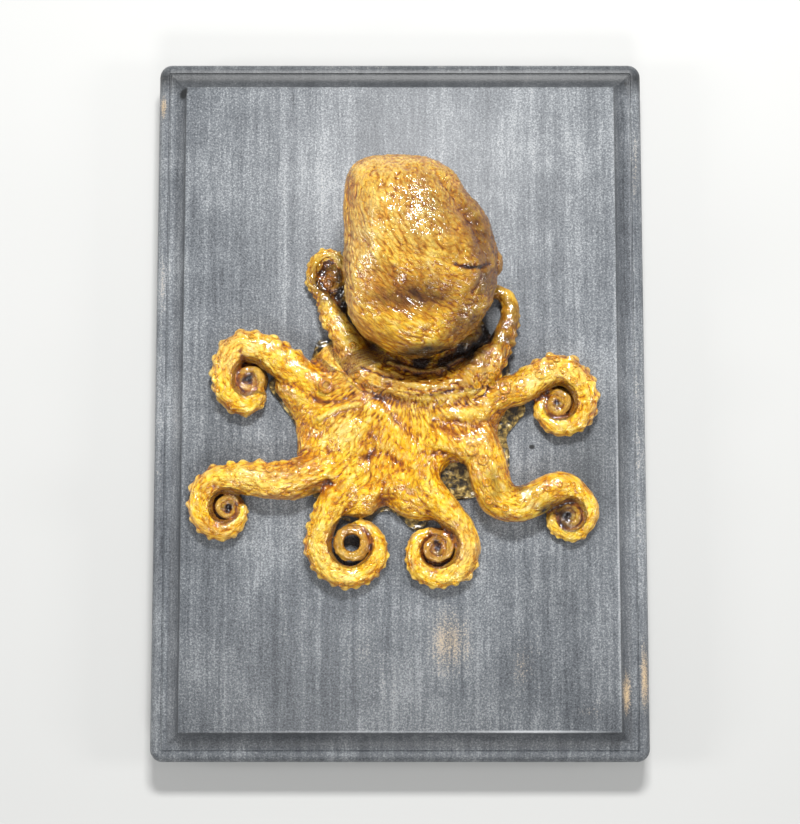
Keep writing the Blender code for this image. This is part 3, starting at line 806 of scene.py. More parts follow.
def smoothed(piece, values, rounds, share=1.0):
    """The points' values after rounds that each draw them by 0.6 of share to their neighbours' average."""
    edges = np.empty(len(piece.data.edges) * 2, dtype=np.int64)
    piece.data.edges.foreach_get("vertices", edges)
    first, second = edges.reshape(-1, 2).T
    count = np.bincount(edges)
    total = len(count)
    for turn in range(rounds):
        average = np.column_stack([
            (np.bincount(first, column[second], total) + np.bincount(second, column[first], total)) / count
            for column in values.T
        ])
        values = values + 0.6 * share * (average - values)
    return values


def sunken(piece, rounds):
    """How far each point lies below the average of its neighbourhood, in millimetres."""
    co = points_of(piece)
    return ((smoothed(piece, co, rounds) - co) * normals_of(piece)).sum(axis=1) / MM


def store_vectors(piece, name, vectors):
    attribute = piece.data.attributes.new(name, "FLOAT_VECTOR", "POINT")
    attribute.data.foreach_set("vector", vectors.astype(np.float32).ravel())


VARNISH_ROUNDS = 14
VARNISH_SHARE = 0.75


def store_varnish(piece):
    """Keeps the direction that the varnish's surface faces, which is smoother than the skin under it."""
    skin = normals_of(piece)
    mixed = VARNISH_SHARE * smoothed(piece, skin, VARNISH_ROUNDS) + (1 - VARNISH_SHARE) * skin
    store_vectors(piece, "varnish", mixed / np.linalg.norm(mixed, axis=1)[:, None])


def store(piece, name, values):
    attribute = piece.data.attributes.new(name, "FLOAT", "POINT")
    attribute.data.foreach_set("value", np.clip(values, 0, 1).astype(np.float32))


def press(piece, amount):
    """Moves each point out along its normal by so many millimetres, but never below the board's face."""
    co = points_of(piece) + normals_of(piece) * (amount * MM)[:, None]
    co[:, 2] = np.maximum(co[:, 2], FACE + CLEARANCE)
    set_points(piece, co)


# single folds: their line, half width, and depth (below 0) or height, in millimetres
BODY_FOLDS = [
    ([(-20.2, -4.6), (-15.2, -2.1), (-10.1, -1.2)], 0.6, 0.8),
    ([(-5.0, 0.6), (-1.3, -4.5), (1.3, -7.6), (4.0, -10.5)], 1.3, -0.5),
    ([(-26.0, -24.6), (-22.6, -22.9), (-18.1, -20.7)], 0.9, -0.9),
    ([(-6.0, 0.6), (2.0, -1.0), (9.0, -2.2), (16.0, -1.2), (20.0, 0.5)], 1.4, -0.6),
    ([(9.0, -6.6), (15.1, -8.8), (20.1, -7.0)], 1.5, -0.5),
    ([(-23.0, 1.0), (-18.0, -0.5), (-12.0, 1.5)], 1.2, -0.5),
    ([(9.0, -13.5), (12.6, -14.2), (15.0, -17.0)], 1.1, -0.7),
    ([(-10.0, -15.0), (-4.5, -13.5), (0.0, -16.0)], 1.2, -0.5),
    ([(-3.0, 9.6), (1.0, 8.6), (6.0, 7.6), (11.5, 8.4)], 0.45, 0.6),
    ([(12.5, 9.6), (15.5, 11.0), (19.0, 13.0), (22.0, 15.6)], 0.5, 0.7),
    ([(-1.0, 4.6), (4.0, 3.4), (9.0, 3.0), (14.0, 3.2)], 0.5, 0.5),
    ([(-9.5, 8.0), (-4.0, 6.0), (1.0, 5.6)], 0.5, -0.5),
]
MANTLE_FOLDS = [
    ([(13.8, 31.4), (16.0, 31.0), (18.9, 31.2), (22.4, 32.6)], 0.6, -0.6),
    ([(16.5, 32.0), (18.2, 30.9), (19.6, 31.9)], 0.5, 0.7),
    ([(20.5, 31.0), (20.0, 27.5), (18.0, 25.0)], 0.9, -0.7),
    ([(-10.0, 55.0), (-6.0, 48.0), (-7.5, 40.0)], 2.2, 0.6),
    ([(9.0, 55.0), (15.5, 46.0), (19.5, 38.0)], 1.6, -0.5),
]

# Creases run along an arm, so their net is drawn out along the arm's line. lay is a place in that net.
# On the web they run out from its middle, and an arm's net starts with the values that the web's has there.
# Round the foot of the mantle they follow the collar. The radii turn an angle into millimetres of the net.
STRETCH = 1.8
WEB_MIDDLE = (2.0, 10.0)
WEB_RADIUS = 26
MANTLE_MIDDLE = (5.0, 35.0)
MANTLE_RADIUS = 30
COLLAR_REACH = 34.5


def around(plan, middle):
    """How far points lie from a middle, and their direction from it, 0 towards the plaque's foot."""
    spoke = plan - middle
    return np.hypot(*spoke.T), np.arctan2(spoke[:, 0], -spoke[:, 1])


def web_share(plan):
    """1 on the web, fading to 0 where the arms leave it."""
    return np.clip((oval(plan, 0, -5, 22, 18, 0) - 0.3) / 0.2, 0, 1)


stations = []
for outer, inner in ARM_LINES.values():
    root = np.array(outer)
    leaves = np.argmax(web_share(root[:, :2]) < 0.5)
    (start,), (direction,) = around(root[leaves:leaves + 1, :2], WEB_MIDDLE)
    start -= root[leaves, 4]
    side = WEB_RADIUS * direction
    for line, share in ((outer, 0.0), (inner, 1.0)):
        for i, (x, y, z, radius, far) in enumerate(line):
            ahead, behind = line[min(i + 1, len(line) - 1)], line[max(i - 1, 0)]
            along = Vector((ahead[0] - behind[0], ahead[1] - behind[1])).normalized()
            stations.append((x, y, z, radius, far + start, along.x, along.y, share, side))
stations = np.array(stations)
station_tree = kdtree.KDTree(len(stations))
for i, station in enumerate(stations):
    station_tree.insert(station[:3], i)
station_tree.balance()


def arm_at(points):
    """For points in millimetres above the face, the row of the nearest arm station and its distance."""
    found = [station_tree.find(p)[1:] for p in points.tolist()]
    rows, away = np.array(found).T
    return stations[rows.astype(int)], away


def lay_of(points):
    """Each point's place in the net of creases that its arm, the web or the collar has, in millimetres."""
    near, away = arm_at(points)
    x, y = points[:, 0] - near[:, 0], points[:, 1] - near[:, 1]
    along = near[:, 4] + x * near[:, 5] + y * near[:, 6]
    across = near[:, 8] + y * near[:, 5] - x * near[:, 6]
    arm_lay = np.column_stack([along / STRETCH, across, points[:, 2]])
    outwards, direction = around(points[:, :2], WEB_MIDDLE)
    web_lay = np.column_stack([outwards / STRETCH, WEB_RADIUS * direction, points[:, 2]])
    outwards, direction = around(points[:, :2], MANTLE_MIDDLE)
    collar_lay = np.column_stack([direction * MANTLE_RADIUS / STRETCH, outwards, points[:, 2]])
    on_collar = outwards + 3 * noise_at(points / 4, 65) < COLLAR_REACH
    web_lay = np.where(on_collar[:, None], collar_lay, web_lay)
    on_web = np.maximum(web_share(points[:, :2]), np.clip(away - near[:, 3] - 1.0, 0, 1))[:, None]
    return on_web * web_lay + (1 - on_web) * arm_lay


def lift_off_face(piece):
    """The piece's points in millimetres, with their height above the board's face."""
    return points_of(piece) / MM - (0, 0, FACE / MM)


# soft swellings and hollows: x, y, half length, half width, turn in degrees, and height
BODY_SWELLS = [
    (-14.5, -8.5, 4.5, 3.5, 20, 0.8), (-7.3, -12.5, 7.5, 2.2, 84, -0.5), (-1.0, -12.0, 6.0, 2.6, -50, 0.9),
    (12.5, -3.2, 8.0, 1.8, -4, 0.8), (4.0, -8.5, 3.0, 1.6, -40, -0.7), (-19.0, 1.5, 4.0, 2.0, 30, -0.7),
    (-13.0, 5.0, 3.5, 3.0, 0, 0.8), (3.0, -20.0, 5.0, 3.0, 0, 0.2), (17.5, -12.0, 2.6, 3.6, 0, 0.8),
    (13.0, 2.4, 9.0, 1.1, 8, -0.7), (-3.0, 0.0, 5.0, 1.2, -20, -0.1), (26.0, 3.4, 3.0, 2.4, 20, 0.5),
]
MANTLE_SWELLS = [(18.0, 22.5, 5.0, 2.2, 40, -0.6), (-10.5, 44.0, 1.8, 11.0, -4, 0.6)]
ROUGH_SPOTS = [(5.0, 5.0, 22.0, 4.5, 0, 0.9), (22.0, 12.0, 7.0, 7.0, 0, 0.9), (-18.0, 31.0, 5.0, 7.0, 0, 1.8)]


def strongest(plan, spots):
    """The greatest strength that any of the soft spots has at each place."""
    most = np.zeros(len(plan))
    for x, y, long, wide, turn, strength in spots:
        most = np.maximum(most, strength * oval(plan, x, y, long, wide, turn))
    return most


# the web is evened out first, so that its folds run into each other, with rounds that suit the mesh's voxels
WEB_ROUNDS = 100
plan = points_of(body)[:, :2] / MM
share = np.clip(2.0 * oval(plan, 0, -6, 22, 17, 0), 0, 1)[:, None]
set_points(body, smoothed(body, points_of(body), round(WEB_ROUNDS * (FULL_VOXEL / VOXEL) ** 2), share))
# the mantle's creases bend round a point beyond its right shoulder
SHOULDER = (31.0, 62.0)
SHOULDER_RADIUS = 34
points = lift_off_face(mantle)
spoke = points[:, :2] - SHOULDER
turn = np.arctan2(spoke[:, 1], spoke[:, 0])
mantle_lay = np.column_stack([turn * SHOULDER_RADIUS / STRETCH, np.hypot(*spoke.T), points[:, 2]])
for piece, lay, folds, swells in (
    (body, lay_of(lift_off_face(body)), BODY_FOLDS, BODY_SWELLS),
    (mantle, mantle_lay, MANTLE_FOLDS, MANTLE_SWELLS),
):
    place = lift_off_face(piece)
    plan = place[:, :2]
    rough = strongest(plan, ROUGH_SPOTS)
    upper = np.clip(normals_of(piece)[:, 2] * 1.5, 0, 1)
    # nets of 4.5 and 1.5 mm, lumps of 4.5 and 1.8 mm, wrinkles of 1.3 and 0.8 mm. The last number is a seed.
    wide_gap = crease_gap(mantle_lay if piece == mantle else place, 4.5, 20)
    gap = crease_gap(lay, 1.5, 60)
    lumps = noise_at(place / 4.5, 40) + 0.3 * noise_at(place / 1.8, 45)
    wrinkles = np.abs(noise_at(lay / 1.3, 50)) + 0.3 * noise_at(lay / 0.8, 55)
    amount = 0.10 * (1 - np.exp(-wide_gap / 0.15)) + 0.45 * lumps - 0.15
    amount += 0.07 * (1 - np.exp(-gap / 0.2)) + 0.30 * wrinkles
    amount *= 1 + rough
    for x, y, long, wide, turn, swell in swells:
        amount += swell * oval(plan, x, y, long, wide, turn) * upper
    for line, reach, depth in folds:
        amount += depth * groove(plan, line, reach) * upper
    press(piece, amount)
    # thin brown lines of painted shade lie in both nets, in patches of 2.4 mm
    here_and_there = np.clip(0.40 + 1.6 * noise_at(lay / 2.4, 70), 0.0, 1)
    lines = np.maximum(0.25 * np.exp(-(wide_gap / 0.04) ** 2), 0.32 * np.exp(-(gap / 0.10) ** 2))
    store(piece, "crease", lines * here_and_there * (1 + 0.6 * rough))
    # how far a point lies below its neighbours, which sets the painted shade in hollows and the painted
    # highlight on raised skin
    store(piece, "hollow", 0.5 + sunken(piece, 30) * 1.3 + sunken(piece, 5) * 1.5)
    # the normal's height, which paints up-facing skin lighter and side-facing skin darker
    store(piece, "crest", normals_of(piece)[:, 2])
    store_vectors(piece, "lay", lay)
    store_varnish(piece)
    print(piece.name, "has fine creases on", round(100 * np.mean(lines > 0.1)), "% of its points")

# %% [markdown]
# The colour isn't even: painted shade darkens the skin under the mantle, in the notches and folds, inside
# the curls, in the mantle's hollow and next to the board, and ink and old varnish have dried black in a
# few places. The thin coils have dried to amber brown, and the mantle's left side is pale; painted
# highlights pale domes of the web and the arms. Each mark is a soft oval at its measured place. They are
# kept as attributes, one number for each point of the skin.

# %% Stains, painted shade and painted highlights
# x, y, half length, half width, turn in degrees, strength
# painted shade under the mantle, in the notches, along folds and inside the curls, with a few spots of ink
INK_AND_PAINTED_SHADE_SPOTS = [
    (6.0, 10.0, 12.0, 2.2, -3, 0.9), (16.5, 12.5, 6.0, 3.6, 35, 1.0), (21.5, 17.0, 4.5, 3.0, 60, 0.9),
    (-6.5, 13.6, 5.0, 1.4, -38, 0.75), (24.2, 23.0, 2.6, 4.0, 0, 0.7), (-14.8, 26.5, 1.7, 5.0, 0, 1.0),
    (-18.0, 26.5, 2.6, 2.4, 0, 0.5), (36.5, -27.0, 3.0, 1.6, 25, 0.9), (23.5, -21.6, 1.6, 4.0, 10, 0.35),
    (31.0, -22.0, 3.5, 1.2, 10, 0.6), (-22.5, -23.0, 3.0, 1.0, 30, 0.5), (-1.3, -5.0, 3.4, 0.7, -48, 0.25),
    (13.0, 2.0, 11.0, 0.9, 8, 0.35), (22.0, -4.5, 3.0, 1.2, 0, 0.2), (6.3, -19.7, 0.5, 0.5, 0, 0.9),
    (-43.6, -26.7, 1.6, 1.0, 20, 0.9), (9.4, -36.9, 0.9, 2.4, 10, 0.8), (42.9, -29.1, 1.0, 0.8, 30, 0.8),
    (42.9, -29.0, 3.6, 3.6, 0, 0.65), (40.2, -0.4, 1.0, 1.0, 0, 0.8), (-38.6, 6.4, 2.2, 1.0, 30, 0.8),
    (29.5, 22.0, 2.5, 8.0, 0, 0.40), (-15.6, 32.0, 1.4, 6.0, 0, 0.6), (-20.0, 31.0, 3.0, 6.0, 0, 0.42),
    (-18.0, 34.5, 5.0, 2.6, 0, 0.42), (26.5, 16.0, 3.0, 6.0, 20, 0.45),
]
# painted shade in the mantle's hollow and crease and under its lower edge, and darker patches on its right
# side and middle
MANTLE_INK_AND_PAINTED_SHADE = [
    (4.0, 24.0, 11.0, 3.4, 2, 0.66), (18.2, 31.0, 4.0, 0.5, 10, 0.9), (21.2, 28.0, 3.4, 3.8, 0, 0.62),
    (17.0, 19.0, 8.0, 4.2, 35, 0.52), (8.0, 11.3, 12.0, 1.8, 6, 0.8), (20.0, 40.0, 5.0, 15.0, 16, 0.48),
    (-3.0, 31.0, 7.0, 3.0, -20, 0.26), (8.0, 44.0, 9.0, 15.0, 0, 0.32),
]
# pale skin on the mantle's left and top, and painted highlights on the web's domes and on the arms
PALE_AND_PAINTED_HIGHLIGHT_SPOTS = [
    (-8.5, 38.0, 6.0, 16.0, -10, 0.85), (-3.0, 56.0, 10.0, 5.0, 0, 0.65), (4.0, 44.0, 14.0, 15.0, 0, 0.60),
    (-13.9, -8.0, 4.0, 4.0, 0, 0.6), (-42.0, 12.0, 8.0, 6.0, 0, 0.5), (-36.0, -20.0, 10.0, 4.0, 0, 0.45),
    (-17.0, -38.0, 5.0, 7.0, 0, 0.5), (15.0, -38.0, 4.0, 8.0, 0, 0.5), (41.0, 7.0, 9.0, 4.0, 0, 0.4),
    (19.0, -11.0, 4.0, 7.0, 10, 0.35), (-16.0, 12.0, 3.0, 6.0, 20, 0.5), (0.0, 3.0, 12.0, 3.0, 0, 0.25),
]
# amber brown skin, with painted shade in the mantle's hollow
AMBER_AND_PAINTED_SHADE_SPOTS = [
    (6.0, 6.0, 18.0, 5.0, 0, 0.80), (20.0, 10.0, 7.0, 6.0, 40, 0.8), (-10.0, 13.0, 5.0, 4.0, -40, 0.5),
    (-18.7, 3.8, 2.0, 2.0, 0, 0.7), (-7.4, -15.0, 2.2, 6.0, 0, 0.35), (20.0, 27.0, 6.0, 5.0, 0, 0.4),
    (4.0, 50.0, 22.0, 20.0, 0, 0.48), (20.0, 36.0, 10.0, 22.0, 14, 0.85), (6.0, 24.5, 19.0, 7.0, 0, 0.85),
    (4.0, 42.0, 9.0, 16.0, 0, 0.30), (17.0, 18.0, 9.0, 6.0, 35, 0.6), (-4.0, 30.0, 9.0, 5.0, 0, 0.4),
    (24.2, 34.6, 2.0, 3.0, 0, 0.6), (23.5, -20.0, 5.0, 6.0, 0, 0.4), (2.0, 15.5, 11.0, 5.0, 0, 0.35),
    (23.0, -1.0, 4.0, 4.0, 0, 0.45), (27.5, 20.0, 5.0, 9.0, 0, 0.9), (36.0, -25.0, 6.0, 2.5, 0, 0.35),
    (-18.5, 31.0, 6.0, 8.0, 0, 0.85),
]


# painted shade darkens the skin within this height of the board
CONTACT_SHADE_HEIGHT = 1.1
PATCH_SIZE = 2.5
COIL_WIDTH = 4


def stain(piece, ink_and_shade_spots, patchiness=0.9):
    """Keeps how black, amber and pale each point is, which holds painted shade and painted highlights too.
    Next to the board the skin is darkened by painted shade.
    """
    points = lift_off_face(piece)
    plan = points[:, :2]
    near, away = arm_at(points)
    coil = near[:, 7] * (away < COIL_WIDTH)
    painted_contact_shade = np.exp(-(points[:, 2] / CONTACT_SHADE_HEIGHT) ** 2)
    patchy = noise_at(points / PATCH_SIZE, 90)
    ink_and_shade = np.clip(strongest(plan, ink_and_shade_spots) * (1 + patchiness * patchy), 0, 1)
    store(piece, "ink_and_shade", np.maximum(ink_and_shade, 0.6 * painted_contact_shade))
    store(piece, "amber", np.maximum(strongest(plan, AMBER_AND_PAINTED_SHADE_SPOTS), 0.70 * coil) * (1 + 0.4 * patchy))
    store(piece, "pale", strongest(plan, PALE_AND_PAINTED_HIGHLIGHT_SPOTS) * (1 - coil))


stain(body, INK_AND_PAINTED_SHADE_SPOTS)
stain(mantle, MANTLE_INK_AND_PAINTED_SHADE, 0.35)

# %% [markdown]
# The suckers that still face up are small raised rings round a shallow cup. The ring is a torus with a dish
# in it, modelled once. A ray shot at the skin finds where each copy sits and which way it faces.

# %% Ring suckers
# x, y and outer diameter of the suckers that are clear in the photograph, in millimetres
SUCKERS_SEEN = [
    (18.1, -12.4, 3.6), (20.9, -15.1, 3.0), (21.8, -20.7, 2.6), (22.3, -25.2, 2.4), (26.3, -27.2, 2.2),
    (30.1, -25.2, 2.0), (33.8, -23.9, 2.0), (37.1, -22.2, 1.9), (40.1, -21.2, 1.8), (43.6, -21.4, 1.7),
    (26.5, 3.1, 3.4), (30.6, 4.8, 3.0), (26.0, 0.5, 2.4), (35.3, 6.6, 2.4), (38.6, 8.8, 2.3),
    (41.6, 8.0, 2.2), (44.2, 5.2, 2.1), (-13.9, 9.6, 2.4), (-10.8, 6.5, 2.2), (-12.1, 13.9, 2.0),
    (-18.7, 3.8, 4.2), (-18.4, 30.9, 3.2), (14.6, -9.8, 2.2), (-6.2, 2.8, 2.0), (23.0, 6.2, 2.2),
    (22.6, 10.6, 2.0),
]
DISC_ARMS = ("upper_left", "upper_right", "middle_left", "lower_left", "bottom_left", "bottom_right", "right")


def make_ring_sucker():
    """A ring of outer radius 1 mm round a dish, facing up."""
    select_only()
    bpy.ops.mesh.primitive_torus_add(
        major_segments=14, minor_segments=6, major_radius=0.70 * MM, minor_radius=0.30 * MM
    )
    ring = bpy.context.object
    select_only()
    bpy.ops.mesh.primitive_circle_add(
        vertices=14, radius=0.62 * MM, fill_type="TRIFAN", location=(0, 0, -0.1 * MM)
    )
    dish = bpy.context.object
    return join("ring_sucker", [ring, dish])


ring_sucker = make_ring_sucker()
skin_under = bvhtree.BVHTree.FromObject(body, bpy.context.evaluated_depsgraph_get())


def put_on_skin(start, towards, radius, flat):
    """A ring sucker where a ray meets the skin, or nothing where it misses. flat turns it back to the ray."""
    where, normal, *rest = skin_under.ray_cast(start, towards)
    if where is None or where.z < FACE + 0.5 * MM:
        return []
    facing = (normal.lerp(-towards, flat)).normalized()
    spot = where + facing * 0.02 * radius * MM
    return [copy_onto(ring_sucker, spot, facing, (radius, radius, radius * 0.8))]


rings = []
for x, y, width in SUCKERS_SEEN:
    rings += put_on_skin(Vector((x * MM, y * MM, FACE + 40 * MM)), Vector((0, 0, -1)), width / 2, 0.3)
for name in DISC_ARMS:
    arm = ARMS[name]
    outer, inner = ARM_LINES[name]
    for middle, outwards, radius in places_along(outer, arm["hand"], arm["discs"], arm["tilt"], 1.0, 1.2):
        rings += put_on_skin(middle + outwards * 2.2 * radius * MM, -outwards, radius * 0.27, 0.5)
suckers = join("octopus_suckers", rings)
bpy.data.objects.remove(ring_sucker)
print(len(rings), "ring suckers,", triangles(suckers), "triangles")
co = points_of(suckers)
jitter = noise_at(co / MM / 1.1, 95)
set_points(suckers, co + normals_of(suckers) * (jitter * 0.12 * MM)[:, None])
store(suckers, "crease", 0 * jitter)
store(suckers, "hollow", 0.5 + 0 * jitter)
# painted light: the rings are lighter where they face up
store(suckers, "crest", 0.8 * normals_of(suckers)[:, 2])
store_vectors(suckers, "lay", lay_of(lift_off_face(suckers)))
store_vectors(suckers, "varnish", normals_of(suckers))
stain(suckers, [(*spot, 0.8 * strength) for *spot, strength in INK_AND_PAINTED_SHADE_SPOTS])

# %% [markdown]
# In the notches between the arms, a thin film of skin and glue has dried flat on the board. It is dark,
# nearly black, and as glossy as wet paint, with crumbs of gold in it.

# %% Film
FILM_OUTLINE = [
    (25.7, 12.0), (8.0, 14.0), (-12.0, 15.0), (-20.6, 16.3), (-23.7, 10.6), (-33.4, 5.6), (-30.7, 0.0),
    (-27.3, -4.8), (-26.3, -10.0), (-26.0, -17.2), (-22.2, -23.8), (-17.8, -28.5), (-8.7, -31.0),
    (-5.8, -28.5), (-2.0, -27.9), (4.6, -32.5), (11.6, -25.4), (18.4, -24.3), (26.4, -22.3), (28.1, -14.0),
    (27.3, -8.7), (29.7, -5.4), (32.2, -1.3), (28.8, 6.0),
]
film = pebble(
    "octopus_film", FILM_OUTLINE, (0.0, -7.0), middle=0.47, half_height=0.45, fullness=0.25, cuts=70
)
co = points_of(film)
mounds = noise_at(co / MM / 2.2, 30) + 0.5 * noise_at(co / MM / 0.9, 31)
co[:, 2] += np.where(co[:, 2] > FACE + 0.5 * MM, (0.40 * mounds + 0.20) * MM, 0)
co[:, 2] = np.maximum(co[:, 2], FACE + CLEARANCE)
set_points(film, co)
print("film:", triangles(film), "triangles")

# %% [markdown]
# Dried octopus skin is a thin leather, golden where it is stretched, under several coats of clear gloss
# varnish. Painted shade browns its creases and hollows, and painted light pales its raised skin and the
# slopes that face up. The varnish is the shader's coat: it half fills the creases, so its own bump is softer
# than the skin's, and the highlights break into small flecks.

# %% Varnished skin
def varnished_skin():
    made, tree, shader = new_material("varnished_dried_skin", {
        "Roughness": 0.42, "Specular IOR Level": 0.15,
        "Coat Weight": 1.0, "Coat Roughness": 0.04, "Coat IOR": 1.6,
    })
    place = add_node(tree, "ShaderNodeTexCoord").outputs["Object"]
    lay = add_node(tree, "ShaderNodeAttribute", attribute_name="lay").outputs["Vector"]
    crease, hollow, crest, ink_and_shade, amber, pale = (
        add_node(tree, "ShaderNodeAttribute", attribute_name=name).outputs["Fac"]
        for name in ("crease", "hollow", "crest", "ink_and_shade", "amber", "pale")
    )
    # patches of 9 mm, mottles of 2 mm, and a net of fine creases 0.9 mm apart, bent by up to 1 mm
    patches, mottles, bend = (
        add_node(
            tree, "ShaderNodeTexNoise", {"Vector": where, "Scale": scale, "Detail": detail}
        ).outputs[part]
        for where, scale, detail, part in (
            (place, 110, 2.0, "Fac"), (lay, 0.5, 3.0, "Fac"), (lay, 0.8, 2.0, "Color"),
        )
    )
    bent = add_node(
        tree, "ShaderNodeVectorMath", {0: bend, 1: (2.6, 2.6, 2.6), 2: lay}, operation="MULTIPLY_ADD"
    ).outputs[0]
    cells = add_node(
        tree, "ShaderNodeTexVoronoi", {"Vector": bent, "Scale": 1.1}, feature="DISTANCE_TO_EDGE"
    ).outputs["Distance"]
    tone = 0.0
    # painted light: skin that faces up gets a paler tone, skin that faces sideways a darker one
    for pattern, share in ((crest, 0.20), (patches, 0.40), (mottles, 0.40)):
        tone = add_node(
            tree, "ShaderNodeMath", {0: pattern, 1: share, 2: tone}, operation="MULTIPLY_ADD"
        ).outputs[0]
    colour = add_node(
        tree, "ShaderNodeValToRGB", {"Fac": tone},
        stops=[(0.42, "#b87400"), (0.51, "#e2a002"), (0.58, "#f6c004"), (0.65, "#fbd338"), (0.72, "#fce28c")],
    ).outputs["Color"]
    # painted shade: skin that lies below its neighbours is darkened towards black-brown
    depth = add_node(
        tree, "ShaderNodeValToRGB", {"Fac": hollow},
        stops=[(0.38, "#ffffff"), (0.55, "#ecd4a8"), (0.72, "#aa7836"), (0.95, "#4e3014")],
    ).outputs["Color"]
    # the painted highlight on raised skin, how far a point lies from a fine crease, where those show, and the
    # ink and painted shade
    raised, grain, between, inked_and_shaded = (
        add_node(
            tree, "ShaderNodeMapRange", {"Value": value, "From Min": low, "From Max": high, "To Max": most}
        ).outputs["Result"]
        for value, low, high, most in (
            (hollow, 0.46, 0.16, 0.5), (cells, 0.0, 0.20, 1.0),
            (mottles, 0.60, 0.40, 0.40), (ink_and_shade, 0.1, 0.8, 1.0),
        )
    )
    # painted shade: fine brown lines in the shader's net of creases and along the stored creases
    fine_line_painted_shade = add_node(tree, "ShaderNodeMath", {0: 1.0, 1: grain}, operation="SUBTRACT").outputs[0]
    fine_line_painted_shade = add_node(tree, "ShaderNodeMath", {0: fine_line_painted_shade, 1: between}, operation="MULTIPLY").outputs[0]
    crease_painted_shade = add_node(tree, "ShaderNodeMath", {0: crease, 1: 0.85}, operation="MULTIPLY").outputs[0]
    for share, layer, blend in (
        (raised, "#f4d67c", "MIX"), (pale, "#f0d27c", "MIX"), (amber, "#9a6416", "MIX"),
        (1.0, depth, "MULTIPLY"), (crease_painted_shade, "#5e340c", "MIX"), (fine_line_painted_shade, "#7c4c12", "MIX"),
        (inked_and_shaded, "#1c0e08", "MIX"),
    ):
        colour = add_node(
            tree, "ShaderNodeMix", {0: share, 6: colour, 7: layer}, data_type="RGBA", blend_type=blend
        ).outputs[2]
    tree.links.new(colour, shader.inputs["Base Color"])
    lift = add_node(
        tree, "ShaderNodeMath", {0: mottles, 1: 1.2, 2: grain}, operation="MULTIPLY_ADD"
    ).outputs[0]
    skin_bump = add_node(tree, "ShaderNodeBump", {"Height": lift, "Strength": 1.0, "Distance": 0.20 * MM})
    # the varnish stands a fifth as high over the same pattern
    varnish = add_node(tree, "ShaderNodeAttribute", attribute_name="varnish").outputs["Vector"]
    coat_bump = add_node(
        tree, "ShaderNodeBump", {"Height": lift, "Strength": 1.0, "Distance": 0.04 * MM, "Normal": varnish}
    )
    tree.links.new(skin_bump.outputs["Normal"], shader.inputs["Normal"])
    tree.links.new(coat_bump.outputs["Normal"], shader.inputs["Coat Normal"])
    return made


def black_film():
    made, tree, shader = new_material(
        "black_varnish_film", {"Roughness": 0.30, "Coat Weight": 1.0, "Coat Roughness": 0.06}
    )
    place = add_node(tree, "ShaderNodeTexCoord").outputs["Object"]
    # crumbs of 0.7 mm in dark patches of 3 mm
    crumbs, patches = (
        add_node(
            tree, "ShaderNodeTexNoise",
            {"Vector": place, "Scale": scale, "Detail": detail, "Distortion": distortion},
        ).outputs["Fac"]
        for scale, detail, distortion in ((900, 3.0, 0.6), (260, 2.0, 0.0))
    )
    tone = add_node(tree, "ShaderNodeMix", {0: 0.45, 2: crumbs, 3: patches}, data_type="FLOAT").outputs[0]
    colour = add_node(
        tree, "ShaderNodeValToRGB", {"Fac": tone},
        stops=[(0.40, "#1b160d"), (0.48, "#4a3c1f"), (0.55, "#8a7238"), (0.63, "#cdb56e")],
    ).outputs["Color"]
    tree.links.new(colour, shader.inputs["Base Color"])
    bump = add_node(tree, "ShaderNodeBump", {"Height": crumbs, "Strength": 0.8, "Distance": 0.15 * MM})
    tree.links.new(bump.outputs["Normal"], shader.inputs["Normal"])
    return made


# %% [markdown]
# A mesh this fine is heavy, so the body is parted where its arms leave the web. The cut ring is marked
# sharp and closed, so that the skin's shading runs on from one piece to the next.

# %% Part the body and finish every piece
def part_off(piece, name, chosen):
    """Separates the faces whose middle chosen() picks, and closes both cut ends."""
    edit(piece, "FACE", "DESELECT")
    bpy.ops.object.mode_set(mode="OBJECT")
    centres = np.empty(len(piece.data.polygons) * 3)
    piece.data.polygons.foreach_get("center", centres)
    piece.data.polygons.foreach_set("select", chosen(centres.reshape(-1, 3) / MM))
    bpy.ops.object.mode_set(mode="EDIT")
    bpy.ops.mesh.separate(type="SELECTED")
    bpy.ops.object.mode_set(mode="OBJECT")
    (other,) = [found for found in bpy.context.selected_objects if found != piece]
    other.name = other.data.name = name
    for cut in (piece, other):
        edit(cut, "EDGE", "DESELECT")
        bpy.ops.mesh.select_non_manifold()
        bpy.ops.mesh.mark_sharp()
        bpy.ops.mesh.fill_holes(sides=0)
        bpy.ops.object.mode_set(mode="OBJECT")
    return other


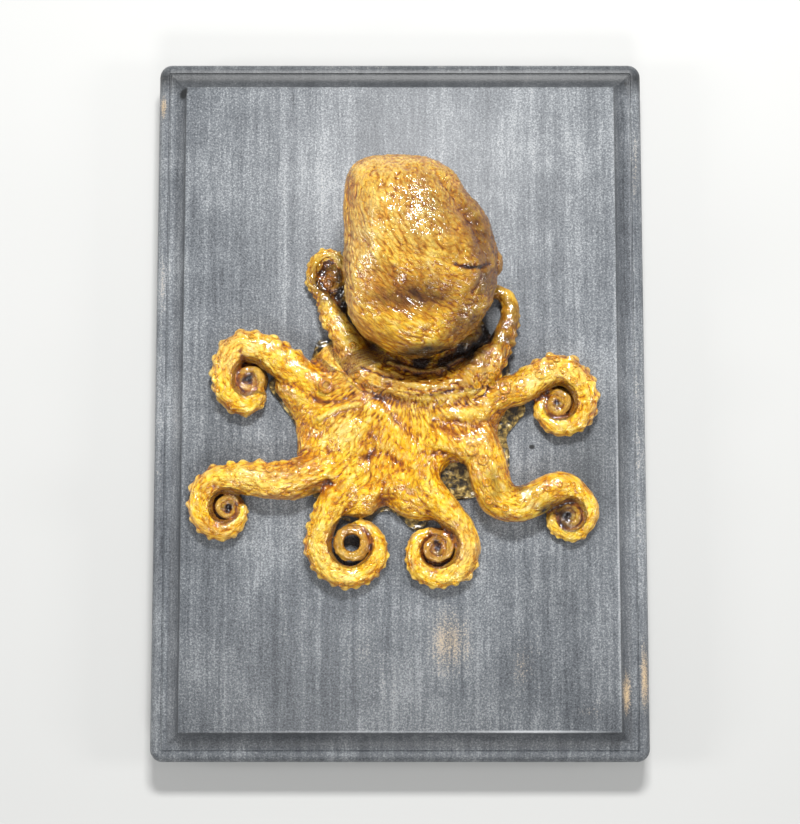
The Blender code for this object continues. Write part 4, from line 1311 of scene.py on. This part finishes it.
skin_pieces = [mantle, suckers, body]
for piece in (*skin_pieces, film):
    piece.data.polygons.foreach_set("use_smooth", [True] * len(piece.data.polygons))
WEB_ENDS = (-15.5, 14.5)
skin_pieces.append(part_off(body, "octopus_left_arms", lambda at: at[:, 0] < WEB_ENDS[0]))
skin_pieces.append(part_off(body, "octopus_right_arms", lambda at: at[:, 0] > WEB_ENDS[1]))
skin = varnished_skin()
for piece in skin_pieces:
    piece.data.materials.clear()
    piece.data.materials.append(skin)
film.data.materials.append(black_film())
for piece in (*skin_pieces, film):
    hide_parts("octopus")
    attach(piece, "root")
    print(piece.name, triangles(piece), "triangles")

# %% [markdown]
# ## Studio
# The photograph's light came from beyond the plaque's top edge, so the board is brightest there, and the
# varnish glints on the slopes that face it. One softbox does that, with weaker ones beyond the foot and at
# both sides.

# %% Floor and lights
select_only()
bpy.ops.mesh.primitive_plane_add(size=4, location=(0, 0, 0))
floor = bpy.context.object
floor.name = "floor"
paper, tree, shader = new_material("pale_floor", {"Base Color": linear("#b9b9b7"), "Roughness": 0.8})
floor.data.materials.append(paper)

world = bpy.data.worlds.new("studio")
bpy.context.scene.world = world
world.use_nodes = True
sky = world.node_tree.nodes["Background"]
sky.inputs["Color"].default_value = linear("#eef1f5")
sky.inputs["Strength"].default_value = 0.28


def softbox(name, place, aim, size, power):
    select_only()
    bpy.ops.object.light_add(type="AREA", location=place)
    light = bpy.context.object
    light.name = name
    light.data.shape = "RECTANGLE"
    light.data.size, light.data.size_y = size
    light.data.energy = power
    towards = Vector(aim) - Vector(place)
    light.rotation_euler = towards.to_track_quat("-Z", "Y").to_euler()


softbox("softbox_top", (0.03, 0.38, 0.50), (0, 0.03, FACE), (0.16, 0.07), 5.3)
softbox("softbox_front", (0.03, -0.44, 0.42), (0, 0, FACE), (0.22, 0.10), 1.3)
softbox("softbox_right", (0.55, -0.05, 0.32), (0, 0, FACE), (0.14, 0.14), 1.1)
softbox("softbox_left", (-0.55, -0.05, 0.32), (0, 0, FACE), (0.14, 0.14), 1.3)
bpy.context.scene.view_settings.view_transform = "Standard"
